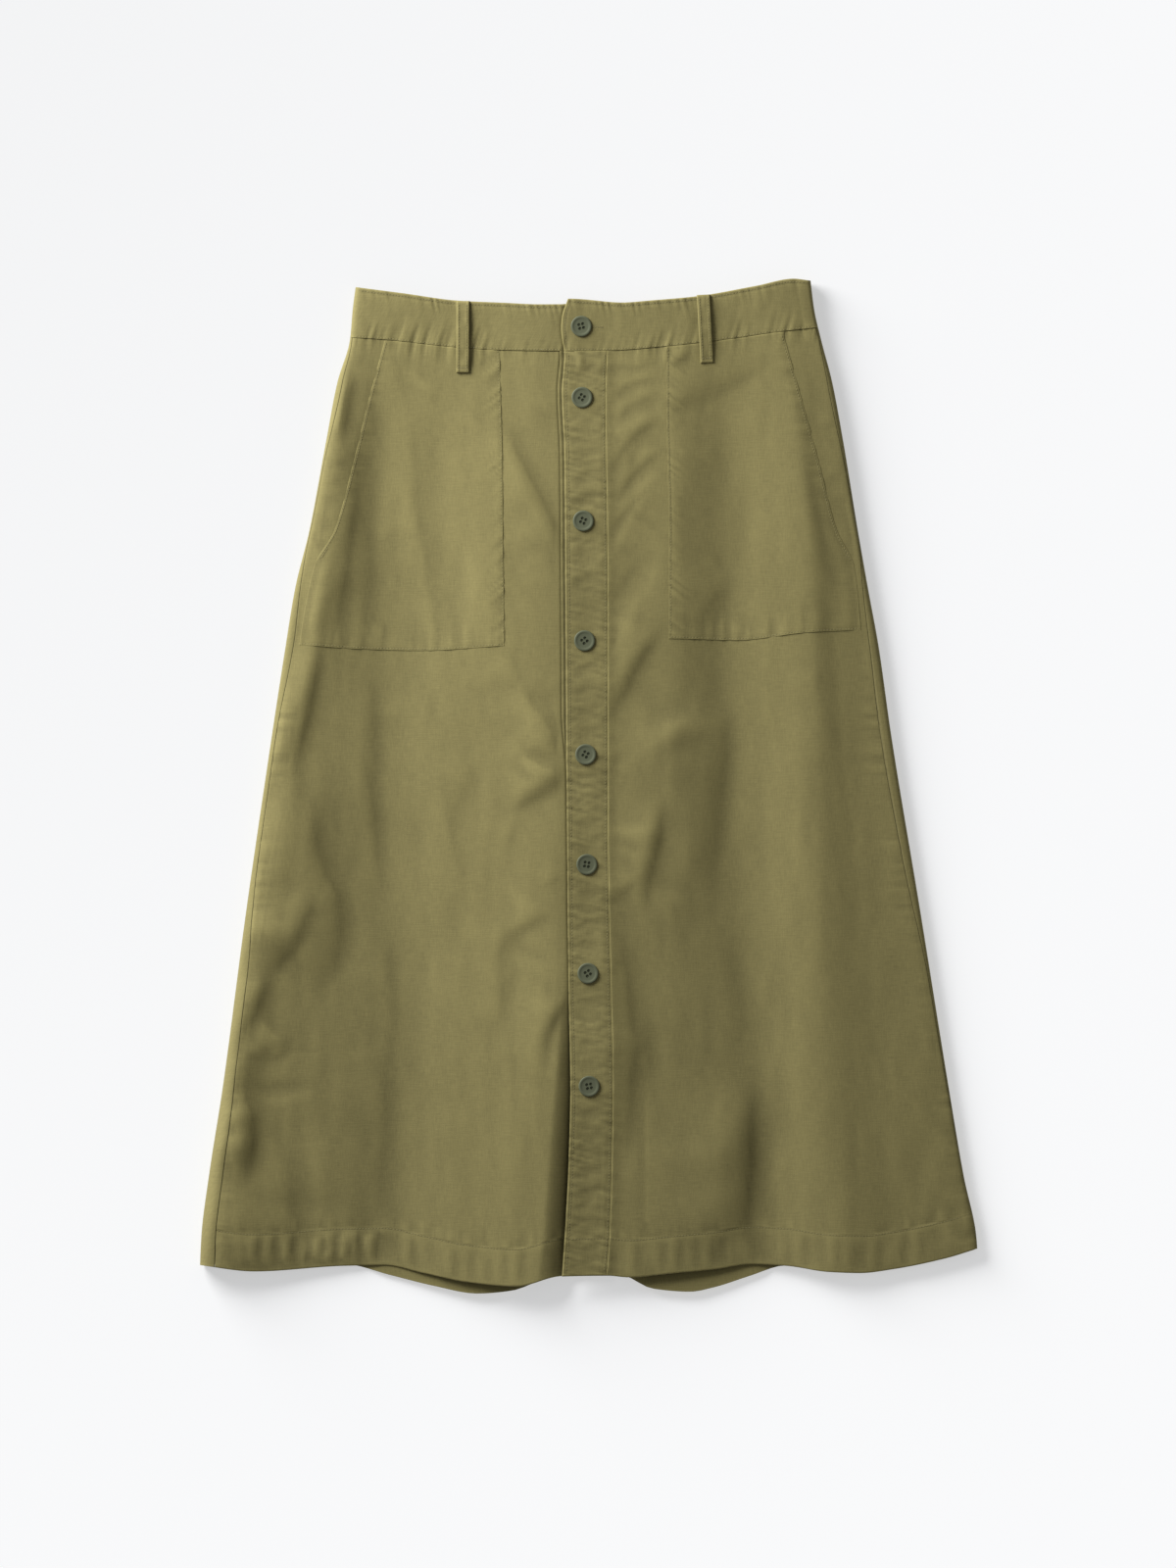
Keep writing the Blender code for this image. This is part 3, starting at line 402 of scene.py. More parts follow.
# Creases pressed or dragged into the cloth
CREASES = (
    # right pocket
    (5.4, 0.28, -148, 335, -145, 313, -140, 291),
    (4.1, 0.19, -114, 315, -118, 305, -126, 298),
    (3.4, 0.19, -96, 301, -89, 289, -81, 279),
    (4.1, 0.31, -171, 305, -168, 291, -163, 270, -159, 252),
    (5.4, 0.25, -181, 229, -177, 212, -172, 193, -171, 179),
    (5.4, 0.31, -136, 242, -137, 229, -131, 204, -130, 188),
    (4.1, 0.22, -122, 199, -118, 182, -115, 168),
    (4.1, 0.28, -123, 155, -119, 133, -117, 112),
    (4.1, 0.31, -196, 158, -202, 144, -208, 128, -212, 111),
    (4.7, 0.46, -186, 171, -192, 149, -194, 130, -197, 114),
    (3.5, 0.31, -174, 155, -175, 136, -170, 112),
    (3, 0.25, -161, 130, -157, 110),
    (3.5, 0.19, -112, 155, -105, 130, -100, 114),
    (3.4, 0.15, -89, 234, -78, 237, -71, 235),
    # right hip, between the side fold and the pocket opening
    (3.4, 0.25, -171, 341, -178, 332, -181, 324),
    (3.4, 0.31, -185, 256, -194, 252, -202, 249),
    (3, 0.25, -187, 242, -197, 238, -207, 235),
    (2.7, 0.19, -192, 229, -201, 225, -209, 223),
    (3.4, -0.25, -194, 204, -201, 197, -207, 193),
    (2.7, 0.25, -213, 190, -209, 185, -205, 181),
    # right front, from the pocket to the placket
    (6.8, 0.68, -63, 291, -56, 272, -45, 250, -34, 231, -24, 212),
    (6.8, 0.43, -65, 190, -59, 171, -51, 155, -41, 138, -34, 126),
    (5.4, 0.37, -34, 190, -29, 177, -25, 166, -22, 153),
    (5.4, 0.37, -65, 111, -56, 92, -52, 77),
    (4.1, 0.19, -49, 300, -37, 291, -26, 285),
    (6.8, 0.25, -62, 229, -54, 218, -45, 204, -34, 193),
    # left front, from the placket to the pocket
    (3.1, 0.31, -1, 319, 7, 323, 23, 327, 37, 326, 51, 332, 57, 337),
    (3.1, 0.31, 64, 327, 74, 331, 84, 338),
    (4.1, 0.25, 18, 286, 29, 293, 43, 296, 56, 298),
    (4.1, 0.22, 17, 264, 26, 272, 40, 281),
    (3, 0.5, 14, 294, 27, 309, 42, 315, 59, 319),
    (3, 0.4, 21, 279, 32, 294, 45, 302, 59, 306),
    (3.4, 0.75, 16, 240, 25, 258, 37, 273, 60, 290),
    (3.4, 0.75, 21, 218, 30, 234, 41, 247, 59, 263),
    (3.4, 0.65, 16, 191, 24, 206, 35, 220, 52, 240),
    (3, 0.5, 62, 324, 75, 335, 85, 342),
    (3.5, 0.28, 62, 279, 67, 290, 74, 300, 78, 308),
    (2.7, 0.22, 64, 275, 70, 282, 74, 290),
    (5.4, 0.62, 28, 237, 32, 248, 37, 261, 45, 275, 57, 285),
    (5.4, 0.37, 34, 179, 33, 196, 37, 209, 47, 219, 60, 230),
    (4.7, 0.56, 23, 144, 29, 158, 34, 168, 40, 177),
    (4.1, 0.31, 26, 193, 23, 182, 21, 168),
    (2.7, 0.28, 18, 103, 19, 117, 23, 129),
    (4.1, -0.19, 51, 193, 58, 201, 60, 209),
    # left front, below the pocket
    (5.1, 0.59, 56, 120, 48, 108, 40, 94, 34, 78, 30, 69, 22, 54),
    (3.5, 0.31, 29, 30, 23, 21, 16, 13),
    (5.4, 0.25, 81, 55, 74, 39, 64, 26, 51, 13, 45, 6),
    # left pocket
    (4.7, 0.5, 108, 159, 101, 150, 92, 136, 88, 122),
    (4.1, 0.28, 96, 185, 102, 171, 108, 160),
    (5.4, 0.22, 107, 264, 105, 253, 100, 244),
    (5.4, 0.31, 144, 330, 142, 313, 138, 291, 136, 267),
    (6.8, 0.31, 133, 324, 122, 319, 110, 309),
    (3, 0.19, 122, 130, 124, 119),
    (3, 0.22, 104, 128, 105, 115),
    # left hip
    (3, 0.22, 196, 285, 187, 281, 178, 278),
    (3, 0.19, 201, 244, 191, 241, 184, 239),
    (3, 0.22, 204, 226, 197, 224, 189, 223),
    (3, 0.19, 208, 193, 201, 189, 193, 188),
    (3, 0.19, 186, 138, 187, 128),
    # right front, down to the hem
    (5.4, 0.53, -217, 86, -222, 67, -228, 51, -230, 33, -241, 9),
    (4.1, 0.25, -170, 86, -166, 67, -162, 38, -158, 2),
    (4.3, 0.34, -182, 45, -176, 25, -171, 0, -166, -26, -164, -51, -160, -93),
    (5.4, 0.43, -214, 6, -214, -22, -211, -48, -204, -67, -191, -86, -185, -107, -187, -134),
    (4.3, 0.28, -114, 67, -114, 22, -111, -10, -105, -42, -99, -65, -97, -96, -96, -120),
    (4.9, 0.25, -70, 6, -72, -19, -77, -42, -79, -80, -81, -108),
    (4.1, 0.43, -40, 73, -30, 57, -24, 41, -22, 30),
    (4.1, 0.59, -22, 11, -32, 1, -47, -9, -59, -22),
    (4.1, 0.25, -52, -21, -59, -35, -63, -51, -61, -69),
    (3.4, 0.28, -18, -69, -28, -75, -36, -82),
    (4.9, 0.37, -28, -92, -36, -102, -45, -109, -63, -118, -69, -136),
    (5.4, 0.37, -53, -129, -58, -150, -63, -169, -61, -190),
    (4, 0.35, -16, -164, -23, -179, -32, -195, -37, -209),
    (4.1, 0.37, -18, -206, -20, -220, -21, -233),
    (4, 0.4, -216, -93, -222, -111, -229, -127, -239, -140, -252, -148),
    (4, 0.35, -248, -149, -252, -164, -259, -180, -267, -196),
    (3.5, 0.34, -228, -195, -243, -202, -259, -209, -272, -213),
    (6.8, 0.31, -165, -118, -154, -144, -152, -169, -153, -201, -157, -228),
    (6.8, 0.22, -133, 86, -125, 60, -128, 35),
    (4.7, 0.19, -201, -10, -197, -26, -194, -42),
    # right front, at the hem
    (5.4, 0.53, -258, -253, -264, -272, -266, -291, -272, -309),
    (5.4, 0.22, -240, -274, -231, -295, -222, -314, -215, -325),
    (5.4, 0.25, -159, -189, -153, -209, -155, -229),
    (6.8, 0.28, -43, -264, -49, -295, -55, -330, -62, -368),
    (3.2, 2.4, -178, -344, -179, -376),
    (2.8, 1.8, -165, -346, -166, -373),
    (2.2, 1.5, -187, -348, -187, -372),
    (2.8, 2, -197, -346, -198, -375),
    (2.4, 1.3, -208, -350, -208, -372),
    (3, 1.4, -218, -346, -219, -377),
    (2.6, 1.3, -231, -348, -231, -375),
    (3, 1.3, -245, -347, -246, -377),
    (2.8, 1.2, -258, -348, -259, -376),
    (6.8, 0.19, -91, -237, -88, -266, -91, -295),
    # left front, down to the hem
    (6.8, 0.43, 104, 64, 112, 51, 111, 35, 108, 16, 101, -6, 99, -29, 100, -51),
    (4.7, 0.46, 54, -18, 55, -40, 52, -57, 44, -77, 44, -100),
    (3, 0.31, 32, -79, 24, -88, 16, -92),
    (4.1, 0.22, 28, -123, 23, -137, 21, -155),
    (4.1, 0.34, 179, 96, 180, 76, 182, 67),
    (5.4, 0.22, 183, 67, 189, 45, 195, 22, 193, -10),
    (6.8, 0.25, 45, -166, 47, -185, 45, -217),
    (8.1, 0.25, 170, 67, 170, 9, 173, -42, 178, -80),
    (6.8, 0.19, 74, -64, 80, -93, 79, -118),
    # left front, at the hem
    (6.8, 0.62, 134, -248, 131, -272, 129, -295, 127, -323, 123, -358),
)
PLACKET_CREASES = (
    (2.2, 0.3, -16, 323, -4, 322, 2, 328, 5, 334),
    (2, 0.21, -14, 329, -6, 328, -1, 331),
    (2, 0.21, -16, 326, -9, 321, -2, 322),
    (2.5, 0.21, -18, 238, -7, 241, 2, 244),
    (2.6, 0.45, -18, 218, -6, 223, 4, 228, 13, 229),
    (2.2, 0.33, -5, 164, 4, 165, 13, 167),
    (2.2, 0.18, -15, 158, -9, 160, -1, 161),
    (2.2, 0.18, -15, 179, -8, 182, -4, 186),
    (2.2, 0.3, -15, 91, -4, 93, 10, 97),
    (2.4, 0.3, -15, 72, -1, 76, 13, 78),
    (2.4, 0.27, -13, 57, 1, 62, 13, 64),
    (2.4, 0.21, -13, 45, 1, 45, 13, 46),
    (2.2, 0.24, -15, 9, -2, 9, 12, 11),
    (2.2, 0.21, -13, -2, -1, 1, 12, 1),
    (2.2, 0.27, -13, -11, -1, -9, 13, -6),
    (2.2, 0.27, -13, -21, -1, -19, 13, -15),
    (2.5, 0.3, -12, -33, -1, -27, 12, -24),
    (2.2, 0.18, -12, -46, -2, -44, 7, -45),
    (2.2, 0.21, -12, -82, 1, -81, 14, -79),
    (2.2, 0.21, -12, -96, -1, -93, 13, -91),
    (2.2, 0.24, -12, -108, 1, -105, 14, -102),
    (2.2, 0.21, -12, -123, 1, -121, 14, -117),
    (2.2, 0.18, -11, -134, -4, -131, 4, -132),
    (2.5, 0.3, -11, -175, -4, -185, 1, -195),
    (2.2, 0.24, 15, -182, 9, -190, 2, -196),
    (2.2, 0.21, -11, -202, -1, -199, 13, -201),
    (2.2, 0.21, -12, -255, 1, -253, 16, -250),
    (2.2, 0.21, -12, -269, 1, -266, 16, -268),
    (2.2, 0.18, -12, -285, 1, -283, 17, -280),
    (2.4, 0.27, -13, -299, 1, -298, 17, -294),
    (2.6, 0.45, -14, -318, 1, -314, 17, -309),
    (2.2, 0.18, -14, -328, -2, -326, 10, -327),
    (2.5, 0.39, -14, -338, 1, -337, 16, -336),
    (2.5, 0.18, -17, -355, -2, -358, 13, -356),
)
DOWNHILL = (0.74, -0.67)


def ease(t):
    t = np.clip(t, 0.0, 1.0)
    return t * t * (3 - 2 * t)


def mix(a, b, t):
    return a + (b - a) * t


def beside(distance, width):
    """1 on a line, fading to 0 about two widths away from it."""
    return np.exp(-((distance / width) ** 2))


def through(knots, values, at, flat_ends=False):
    """A smooth curve through the values at rising knots, which never swings past them.

    Knots and values may themselves differ from place to place.
    """
    at = np.asarray(at, float)
    knots = np.array([np.broadcast_to(knot, at.shape).ravel() for knot in knots], float)
    values = np.array([np.broadcast_to(value, at.shape).ravel() for value in values], float)
    place = np.clip(at.ravel(), knots[0], knots[-1])
    span = np.diff(knots, axis=0)
    slope = np.diff(values, axis=0) / span
    tangent = np.zeros_like(knots)
    same_way = slope[:-1] * slope[1:] > 0
    total = np.where(same_way, slope[:-1] + slope[1:], 1.0)
    tangent[1:-1] = np.where(same_way, 2 * slope[:-1] * slope[1:] / total, 0.0)
    if not flat_ends:
        tangent[0], tangent[-1] = slope[0], slope[-1]
    i = np.clip((place >= knots).sum(0) - 1, 0, len(knots) - 2)[None]

    def pick(table, shift=0):
        return np.take_along_axis(table, i + shift, 0)[0]

    width = pick(span)
    t = (place - pick(knots)) / width
    rise = pick(values, 1) - pick(values)
    start, end = pick(tangent) * width, pick(tangent, 1) * width
    bend = (3 * rise - 2 * start - end) + t * (start + end - 2 * rise)
    return (pick(values) + t * (start + t * bend)).reshape(at.shape)


def down(table, y, column=1):
    """Reads a column of a table whose rows run down the skirt."""
    rows = table[::-1]
    return through([row[0] for row in rows], [row[column] for row in rows], y)


def across(table, x):
    """Reads a table whose rows run across the skirt."""
    return through([row[0] for row in table], [row[1] for row in table], x)


def placket_edge(y):
    return down(PLACKET_EDGE, y)


def placket_seam(y):
    return down(PLACKET_SEAM, y)


def fold_line(index, y):
    """Place and height of one main fold."""
    _, places, heights = FOLDS[index]
    knots = FOLD_STATIONS[::-1]
    return through(knots, places[::-1], y), through(knots, heights[::-1], y)


def underside(y):
    """Height of the back's outer face: its waist end rides on the back belt loops."""
    return BACK_LOOP_LIFT * ease((y - BACK_LIFT_TO) / (BACK_LIFT_FROM - BACK_LIFT_TO))


def hem_curl(x, y):
    """The back's hem curls up inside the two arches of the front's."""
    above = y - across(BACK_HEM, x)
    shown = ease((across(FRONT_HEM, x) - across(BACK_HEM, x)) / CURL_SHOWN)
    full = HEM_CURL * front_height(x, across(FRONT_HEM, x))
    return full * shown * ease(1 - above / CURL_REACH)


class SideFold:
    """One of the two folds along the skirt's sides, at an array of heights."""

    def __init__(self, y, side):
        column = 2 if side == LEFT else 1
        self.inward = -side
        self.blunt, self.fall = FOLD_BLUNT_X[side], FOLD_FALL[side]
        self.x = down(SIDE_FOLDS, y, column)
        line_x, self.top = fold_line(-1 if side == LEFT else 0, y)
        self.reach = np.abs(line_x - self.x)
        self.low = underside(y)
        self.middle = mix(self.low, self.top, FOLD_MIDDLE)
        self.seam_inset = down(SIDE_SEAMS, y, column)

    def inset(self, x):
        return (x - self.x) * self.inward

    def angle(self, inset):
        return np.arccos((1 - np.clip(inset / self.reach, 0, 1)) ** (1 / self.blunt))

    def point(self, angle, lift=0.0):
        """A blunt oval on top and a round quarter below."""
        upper, lower = np.maximum(angle, 0.0), np.minimum(angle, 0.0)
        inset = self.reach * (1 - np.maximum(np.cos(upper), 0.0) ** self.blunt)
        inset = np.where(angle > 0, inset, UNDER_ROLL * (1 - np.cos(lower)))
        top = self.top + lift - self.fall * (self.reach - inset)
        height = mix(self.middle, top, np.sin(upper) ** FOLD_BLUNT_Z)
        height = np.where(angle > 0, height, mix(self.middle, self.low, -np.sin(lower)))
        return self.x + self.inward * inset, height

    def turn(self, angle, distance):
        """The angle a short way round the face from another one, towards the top if above 0."""
        probe = 0.002
        here, there = self.point(angle), self.point(angle + probe)
        per_angle = np.hypot(there[0] - here[0], there[1] - here[1]) / probe
        return angle + distance / per_angle


def front_height(x, y):
    """Height of the front panels' outer face, before creases."""
    x, y = np.broadcast_arrays(np.asarray(x, float), np.asarray(y, float))
    lines = [fold_line(k, y) for k in range(len(FOLDS))]
    height = through([line[0] for line in lines], [line[1] for line in lines], x, flat_ends=True)
    for side in (RIGHT, LEFT):
        fold = SideFold(y, side)
        inset = fold.inset(x)
        rolled = fold.point(fold.angle(inset))[1]
        height = np.where(inset < fold.reach, rolled, height)
    return height


def underlap_sink(x, y, depth, ledge=0.0):
    """How far the right front lies below the free surface where it runs under the left one."""
    width, over = down(UNDERLAP_DIP, y, 2), x - placket_edge(y)
    share = np.clip((over + width) / (width + UNDERLAP_PAST), 0, 1)
    turned_under = ease((over + ledge + UNDERLAP_TURN / 2) / UNDERLAP_TURN)
    return depth * share**1.5 + UNDERLAP_SINK * turned_under


def panel_y(x, row, hem=FRONT_HEM):
    """Where a panel's row lies: 0 at the waistband, 1 pocket foot, 2 hem's turn, 3 hem."""
    foot = across(POCKET_FOOT, x)
    turn = across(hem, x) + HEM_DEPTH
    upper = mix(across(WAIST_SEAM, x) - SEAM_GAP, foot, np.clip(row, 0, 1))
    middle = (turn - foot) * np.clip(row - 1, 0, 1)
    return upper + middle - HEM_DEPTH * np.clip(row - 2, 0, 1)


def band_y(x, row, rise=0.0):
    """Where a row of the waistband lies, 0 at its top edge and 1 at its seam."""
    return mix(across(WAIST_TOP, x) + rise, across(WAIST_SEAM, x) + SEAM_GAP, row)


def overlap_rise(x):
    """The waistband's upper end stands a little above its lower one."""
    return OVERLAP_RISE * (1 - ease((x - PLACKET_EDGE[0][1]) / OVERLAP_RISE_LENGTH))


# Unevenness


def noise(seed, *coords):
    """Smooth noise from -1 to 1 over one or two coordinates, its cells one unit wide."""
    source = np.random.RandomState(seed)
    values, order = source.uniform(-1, 1, 256), source.permutation(256)
    cells = [np.floor(c).astype(int) for c in coords]
    parts = [ease(c - cell) for c, cell in zip(coords, cells)]

    def corner(shifts):
        index = np.zeros(np.shape(coords[0]), int)
        for cell, shift in zip(cells, shifts):
            index = order[(index + cell + shift) & 255]
        return values[index]

    if len(coords) == 1:
        return mix(corner((0,)), corner((1,)), parts[0])
    low = mix(corner((0, 0)), corner((1, 0)), parts[0])
    high = mix(corner((0, 1)), corner((1, 1)), parts[0])
    return mix(low, high, parts[1])


def puckers(kind, along, away):
    """Puckers that stand off a line of stitching and die out away from it."""
    seed, spacing, reach, height, slant = PUCKERS[kind]
    shifted = along + slant * away
    wave = noise(seed, shifted / spacing * 2) + 0.5 * noise(seed + 1, shifted / spacing * 3.7)
    uneven = 0.65 + 0.5 * noise(seed + 2, along / spacing / 3)
    length = reach * (1 + 0.35 * noise(seed + 3, along / spacing / 1.5))
    return height * wave * uneven * beside(away, length) * (away >= 0)


def path_lengths(points):
    """How far along a path each of its points is."""
    return np.r_[0, np.cumsum(np.hypot(*np.diff(points, axis=0).T))]


def smooth_path(path, spacing):
    """Places along a smooth curve through a path's points, and how far along it they are."""
    points = path.astype(float)
    knots = path_lengths(points)
    at = np.linspace(0, knots[-1], max(int(knots[-1] / spacing), 4) + 1)
    return np.stack([through(knots, points[:, k], at) for k in (0, 1)], 1), at


def crease_relief(x, y, creases):
    """All these creases' heights at these places."""
    shape = x.shape
    x, y = x.ravel(), y.ravel()
    total = np.zeros(len(x))
    for number, (width, drop, *path) in enumerate(creases):
        points, at = smooth_path(np.reshape(path, (-1, 2)), CREASE_PITCH * width)
        low = points.min(0) - CREASE_REACH * width
        high = points.max(0) + CREASE_REACH * width
        near = np.nonzero((x > low[0]) & (x < high[0]) & (y > low[1]) & (y < high[1]))[0]
        if not len(near):
            continue
        ahead = np.gradient(points, axis=0)
        ahead /= np.linalg.norm(ahead, axis=1, keepdims=True)
        away = np.stack([-ahead[:, 1], ahead[:, 0]], 1)
        away *= np.sign((away @ DOWNHILL).sum())
        depth = ease(np.minimum(at, at[-1] - at) / (CREASE_ENDS * at[-1]))
        depth *= 1 + 0.25 * noise(200 + number, at / (4 + 2.5 * width))
        spread = at[1] * 0.8
        height = np.zeros(len(near))
        for place, forward, outward, deep in zip(points, ahead, away, depth):
            dx, dy = x[near] - place[0], y[near] - place[1]
            along = (dx * forward[0] + dy * forward[1]) / spread
            aside = dx * outward[0] + dy * outward[1] + 0.35 * width
            reach = width * np.where(aside < 0, CREASE_FOOT, CREASE_BROW)
            fade = np.exp(-0.5 * (aside / (CREASE_FADE * width)) ** 2)
            step = reach * np.tanh(aside / reach) * fade
            height += deep * step * np.exp(-0.5 * along**2)
        whole = (CREASE_FOOT + CREASE_BROW) * CREASE_PITCH * math.sqrt(2 * math.pi)
        total[near] -= height * drop / (width * whole)
    return total.reshape(shape)


def drape(x, y):
    """Soft unevenness of the laid cloth all over."""
    broad = 0.34 * noise(11, x / 34, y / 90) + 0.2 * noise(12, x / 15, y / 50)
    bent = x + 6 * noise(15, x / 30, y / 40)
    return broad + 0.055 * noise(13, bent / 7, y / 20) + 0.018 * noise(14, x / 3.6, y / 6)


def relief(x, y):
    creased = crease_relief(x, y, FORMS) + CREASE_STRENGTH * crease_relief(x, y, CREASES)
    return creased + drape(x, y)


def roll(kind, distance):
    """How far a folded edge has turned down at a distance in from it."""
    radius, drop = ROLLS[kind]
    share = np.clip(1 - distance / radius, 0, 1)
    return drop * (1 - np.sqrt(1 - share**2))


def stripe(kind, distance):
    """A narrow stripe at some distance in from an edge."""
    amount, inset, width = STRIPES[kind]
    return amount * beside(distance - inset, width)


def shade(kind, distance):
    """Painted shade in the crevice right at a seam."""
    amount, width = SHADES[kind]
    return amount * ease(1 - distance / width)


# Sheets of cloth


def crossing(x_at, y_at, rows):
    """Where a line down the skirt, x_at(y), crosses each row, y_at(x, row)."""
    x = np.zeros(len(rows))
    for _ in range(6):
        x = x_at(y_at(x, rows))
    return x


def steps_between(length, spacing, start=(), end=()):
    """Places along a stretch of that length, with closer ones beside an end that shows an edge."""
    low = max(start, default=0.0)
    high = length - max(end, default=0.0)
    count = max(int(round((high - low) / spacing)), 1)
    inner = np.linspace(low, high, count + 1)
    return np.unique(np.round(np.r_[0.0, start, inner, length - np.array(end), length], 4))


class Sheet:
    """A sheet of cloth as a grid of points: rows run to -Y, columns to +X on the upper side."""

    def __init__(self, points, zero_column=0):
        self.base = points
        normal = np.cross(np.gradient(points, axis=0), np.gradient(points, axis=1))
        self.normal = normal / np.linalg.norm(normal, axis=2, keepdims=True)
        self.lift = np.zeros(points.shape[:2])
        # Wear of the cloth together with painted highlight and painted shade, as a change of its
        # colour
        self.wear_and_painted_light = np.zeros(points.shape[:2])
        steps = np.linalg.norm(np.diff(points, axis=1), axis=2)
        arc = np.hstack([np.zeros((len(points), 1)), np.cumsum(steps, axis=1)])
        start = points[:, zero_column, 0] - arc[:, zero_column]
        self.flat_u = arc + start[:, None]
        self.flat_v = points[:, :, 1]

    @property
    def x(self):
        return self.base[..., 0]

    @property
    def y(self):
        return self.base[..., 1]

    @property
    def outer(self):
        return self.base + self.normal * self.lift[..., None]

    def pale_highs_shade_lows(self):
        """Pales the high places of the relief as worn cloth and darkens the low ones with painted
        shade.
        """
        smooth = self.lift.copy()
        for _ in range(3):
            smooth[1:-1] = (smooth[:-2] + smooth[1:-1] + smooth[2:]) / 3
            smooth[:, 1:-1] = (smooth[:, :-2] + smooth[:, 1:-1] + smooth[:, 2:]) / 3
        self.wear_and_painted_light += np.clip((self.lift - smooth) * 6, -0.5, 0.6)

    def build(self, name, wall, material):
        """Makes the closed shell."""
        rows, columns = self.lift.shape
        wall = np.broadcast_to(wall, self.lift.shape)
        inner = self.base + self.normal * (self.lift - wall)[..., None]
        verts = np.concatenate([self.outer.reshape(-1, 3), inner.reshape(-1, 3)])
        index = np.arange(rows * columns).reshape(rows, columns)
        quads = np.stack([index[:-1, :-1], index[1:, :-1], index[1:, 1:], index[:-1, 1:]], -1)
        quads = quads.reshape(-1, 4)
        below = rows * columns
        faces = [quads, quads[:, ::-1] + below]
        for line in (index[::-1, 0], index[0], index[:, -1], index[-1, ::-1]):
            first, second = line[:-1], line[1:]
            faces.append(np.stack([first, second, second + below, first + below], -1))
        mesh = bpy.data.meshes.new(name)
        mesh.from_pydata(verts * MM, [], np.concatenate(faces).tolist())
        corners = np.empty(len(mesh.loops), np.int32)
        mesh.loops.foreach_get("vertex_index", corners)
        flat = np.tile(np.stack([self.flat_u.ravel(), self.flat_v.ravel()], 1), (2, 1)) * MM
        mesh.uv_layers.new(name="cloth").data.foreach_set("uv", flat[corners].ravel())
        # The attribute carries real wear together with painted highlight and painted shade
        wear_and_painted_light = mesh.attributes.new("wear_and_painted_light", "FLOAT", "POINT")
        wear_and_painted_light.data.foreach_set("value", np.tile(self.wear_and_painted_light.ravel(), 2).astype(np.float32))
        return add_piece(name, mesh, material)


def add_piece(name, mesh, material):
    mesh.shade_smooth()
    mesh.materials.clear()
    mesh.materials.append(material)
    piece = bpy.data.objects.new(name, mesh)
    bpy.context.scene.collection.objects.link(piece)
    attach(piece, BODY)
    return piece


def over_points(x, rows, y_at):
    y = y_at(x, rows[:, None])
    return np.stack([x, y, front_height(x, y)], 2)


def side_points(rows, side, turns, y_over, y_under=None, lift=0.0):
    """Points round a side fold. turns gives each column's angle on every row."""
    fold_x = crossing(lambda y: SideFold(y, side).x, y_over, rows)
    seam_fold = SideFold(y_over(fold_x, rows), side)
    angle = turns(seam_fold)
    x = np.repeat(fold_x[:, None], angle.shape[1], 1)
    for _ in range(3):
        y = y_over(x, rows[:, None])
        if y_under is not None:
            y = np.where(angle > 0, y, y_under(x, rows[:, None], angle))
        x, z = SideFold(y, side).point(angle, lift)
    return np.stack([x, y, z], 2)


def seam_to_top(shares):
    """Turns from just above the side seam to just short of the fold's top."""
    return lambda fold: mix(seam_turn(fold, SIDE_SEAM_GAP), UP, shares)


def seam_to_under(shares):
    """Turns from just below the side seam down to the underside."""
    return lambda fold: seam_turn(fold, -SIDE_SEAM_GAP) * (1 - shares) - UP * shares


def seam_turn(fold, distance):
    return fold.turn(fold.angle(fold.seam_inset), distance)[:, None]


def panel_rows(step):
    """Values of the rows down a panel."""
    upper = steps_between(UPPER_LENGTH, step, start=SEAM) / UPPER_LENGTH
    middle = steps_between(LOWER_LENGTH, step, end=(1.0, 2.4)) / LOWER_LENGTH
    lower = steps_between(HEM_DEPTH, min(step, HEM_STEP), start=SEAM, end=EDGE) / HEM_DEPTH
    return np.unique(np.r_[upper, 1 + middle, 2 + lower])


def columns(start, end, step, first=(), last=()):
    """Shares across between two lines, from their mean distance."""
    length = abs(np.mean(end - start))
    shares = steps_between(length, step, first, last) / length
    return mix(start[:, None], end[:, None], shares[None])


def strips(*parts):
    """Joins columns that share their end lines."""
    return np.hstack([part[:, :-1] for part in parts[:-1]] + [parts[-1]])


def side_fade(x, y, reach=9):
    """0 at the outline, rising to 1 a short way in, on the front and on the back's turned sides."""
    return math.prod(ease(SideFold(y, side).inset(x) / reach) for side in (RIGHT, LEFT))


def from_ends(x, y):
    """How far below the waistband's seam and above the front's hem."""
    return across(WAIST_SEAM, x) - y, y - across(FRONT_HEM, x)


def paled_and_shaded(sheet):
    """The washed cloth is paler on its high folds, and painted shade darkens its low ones."""
    return FADE_AND_SHADE * (sheet.base[..., 2] - FADING_MIDDLE)


def front_relief(sheet, side):
    """The lift of a front panel: creases, puckers along its seams, and its turned hem."""
    x, y = sheet.x, sheet.y
    seam = SideFold(y, side)
    inset = seam.inset(x) - seam.seam_inset
    below_waist, above_hem = from_ends(x, y)
    lift = relief(x, y) * side_fade(x, y)
    lift += puckers("waist", x, below_waist)
    lift += 0.5 * puckers("side seam", y, inset) * ease((120 - y) / 60)
    lift += hem_relief(x, above_hem)
    lift -= roll("waist", below_waist) + roll("side seam", inset)
    sheet.lift = lift
    # Paler along the hem's worn edge, and paler on high folds with painted shade on low ones
    sheet.wear_and_painted_light += stripe("front hem's wear", above_hem) + paled_and_shaded(sheet)
    # Painted shade in the crevices at the side seam and under the waistband's edge
    sheet.wear_and_painted_light -= shade("side seam", inset) + shade("waist", below_waist)
    sheet.pale_highs_shade_lows()


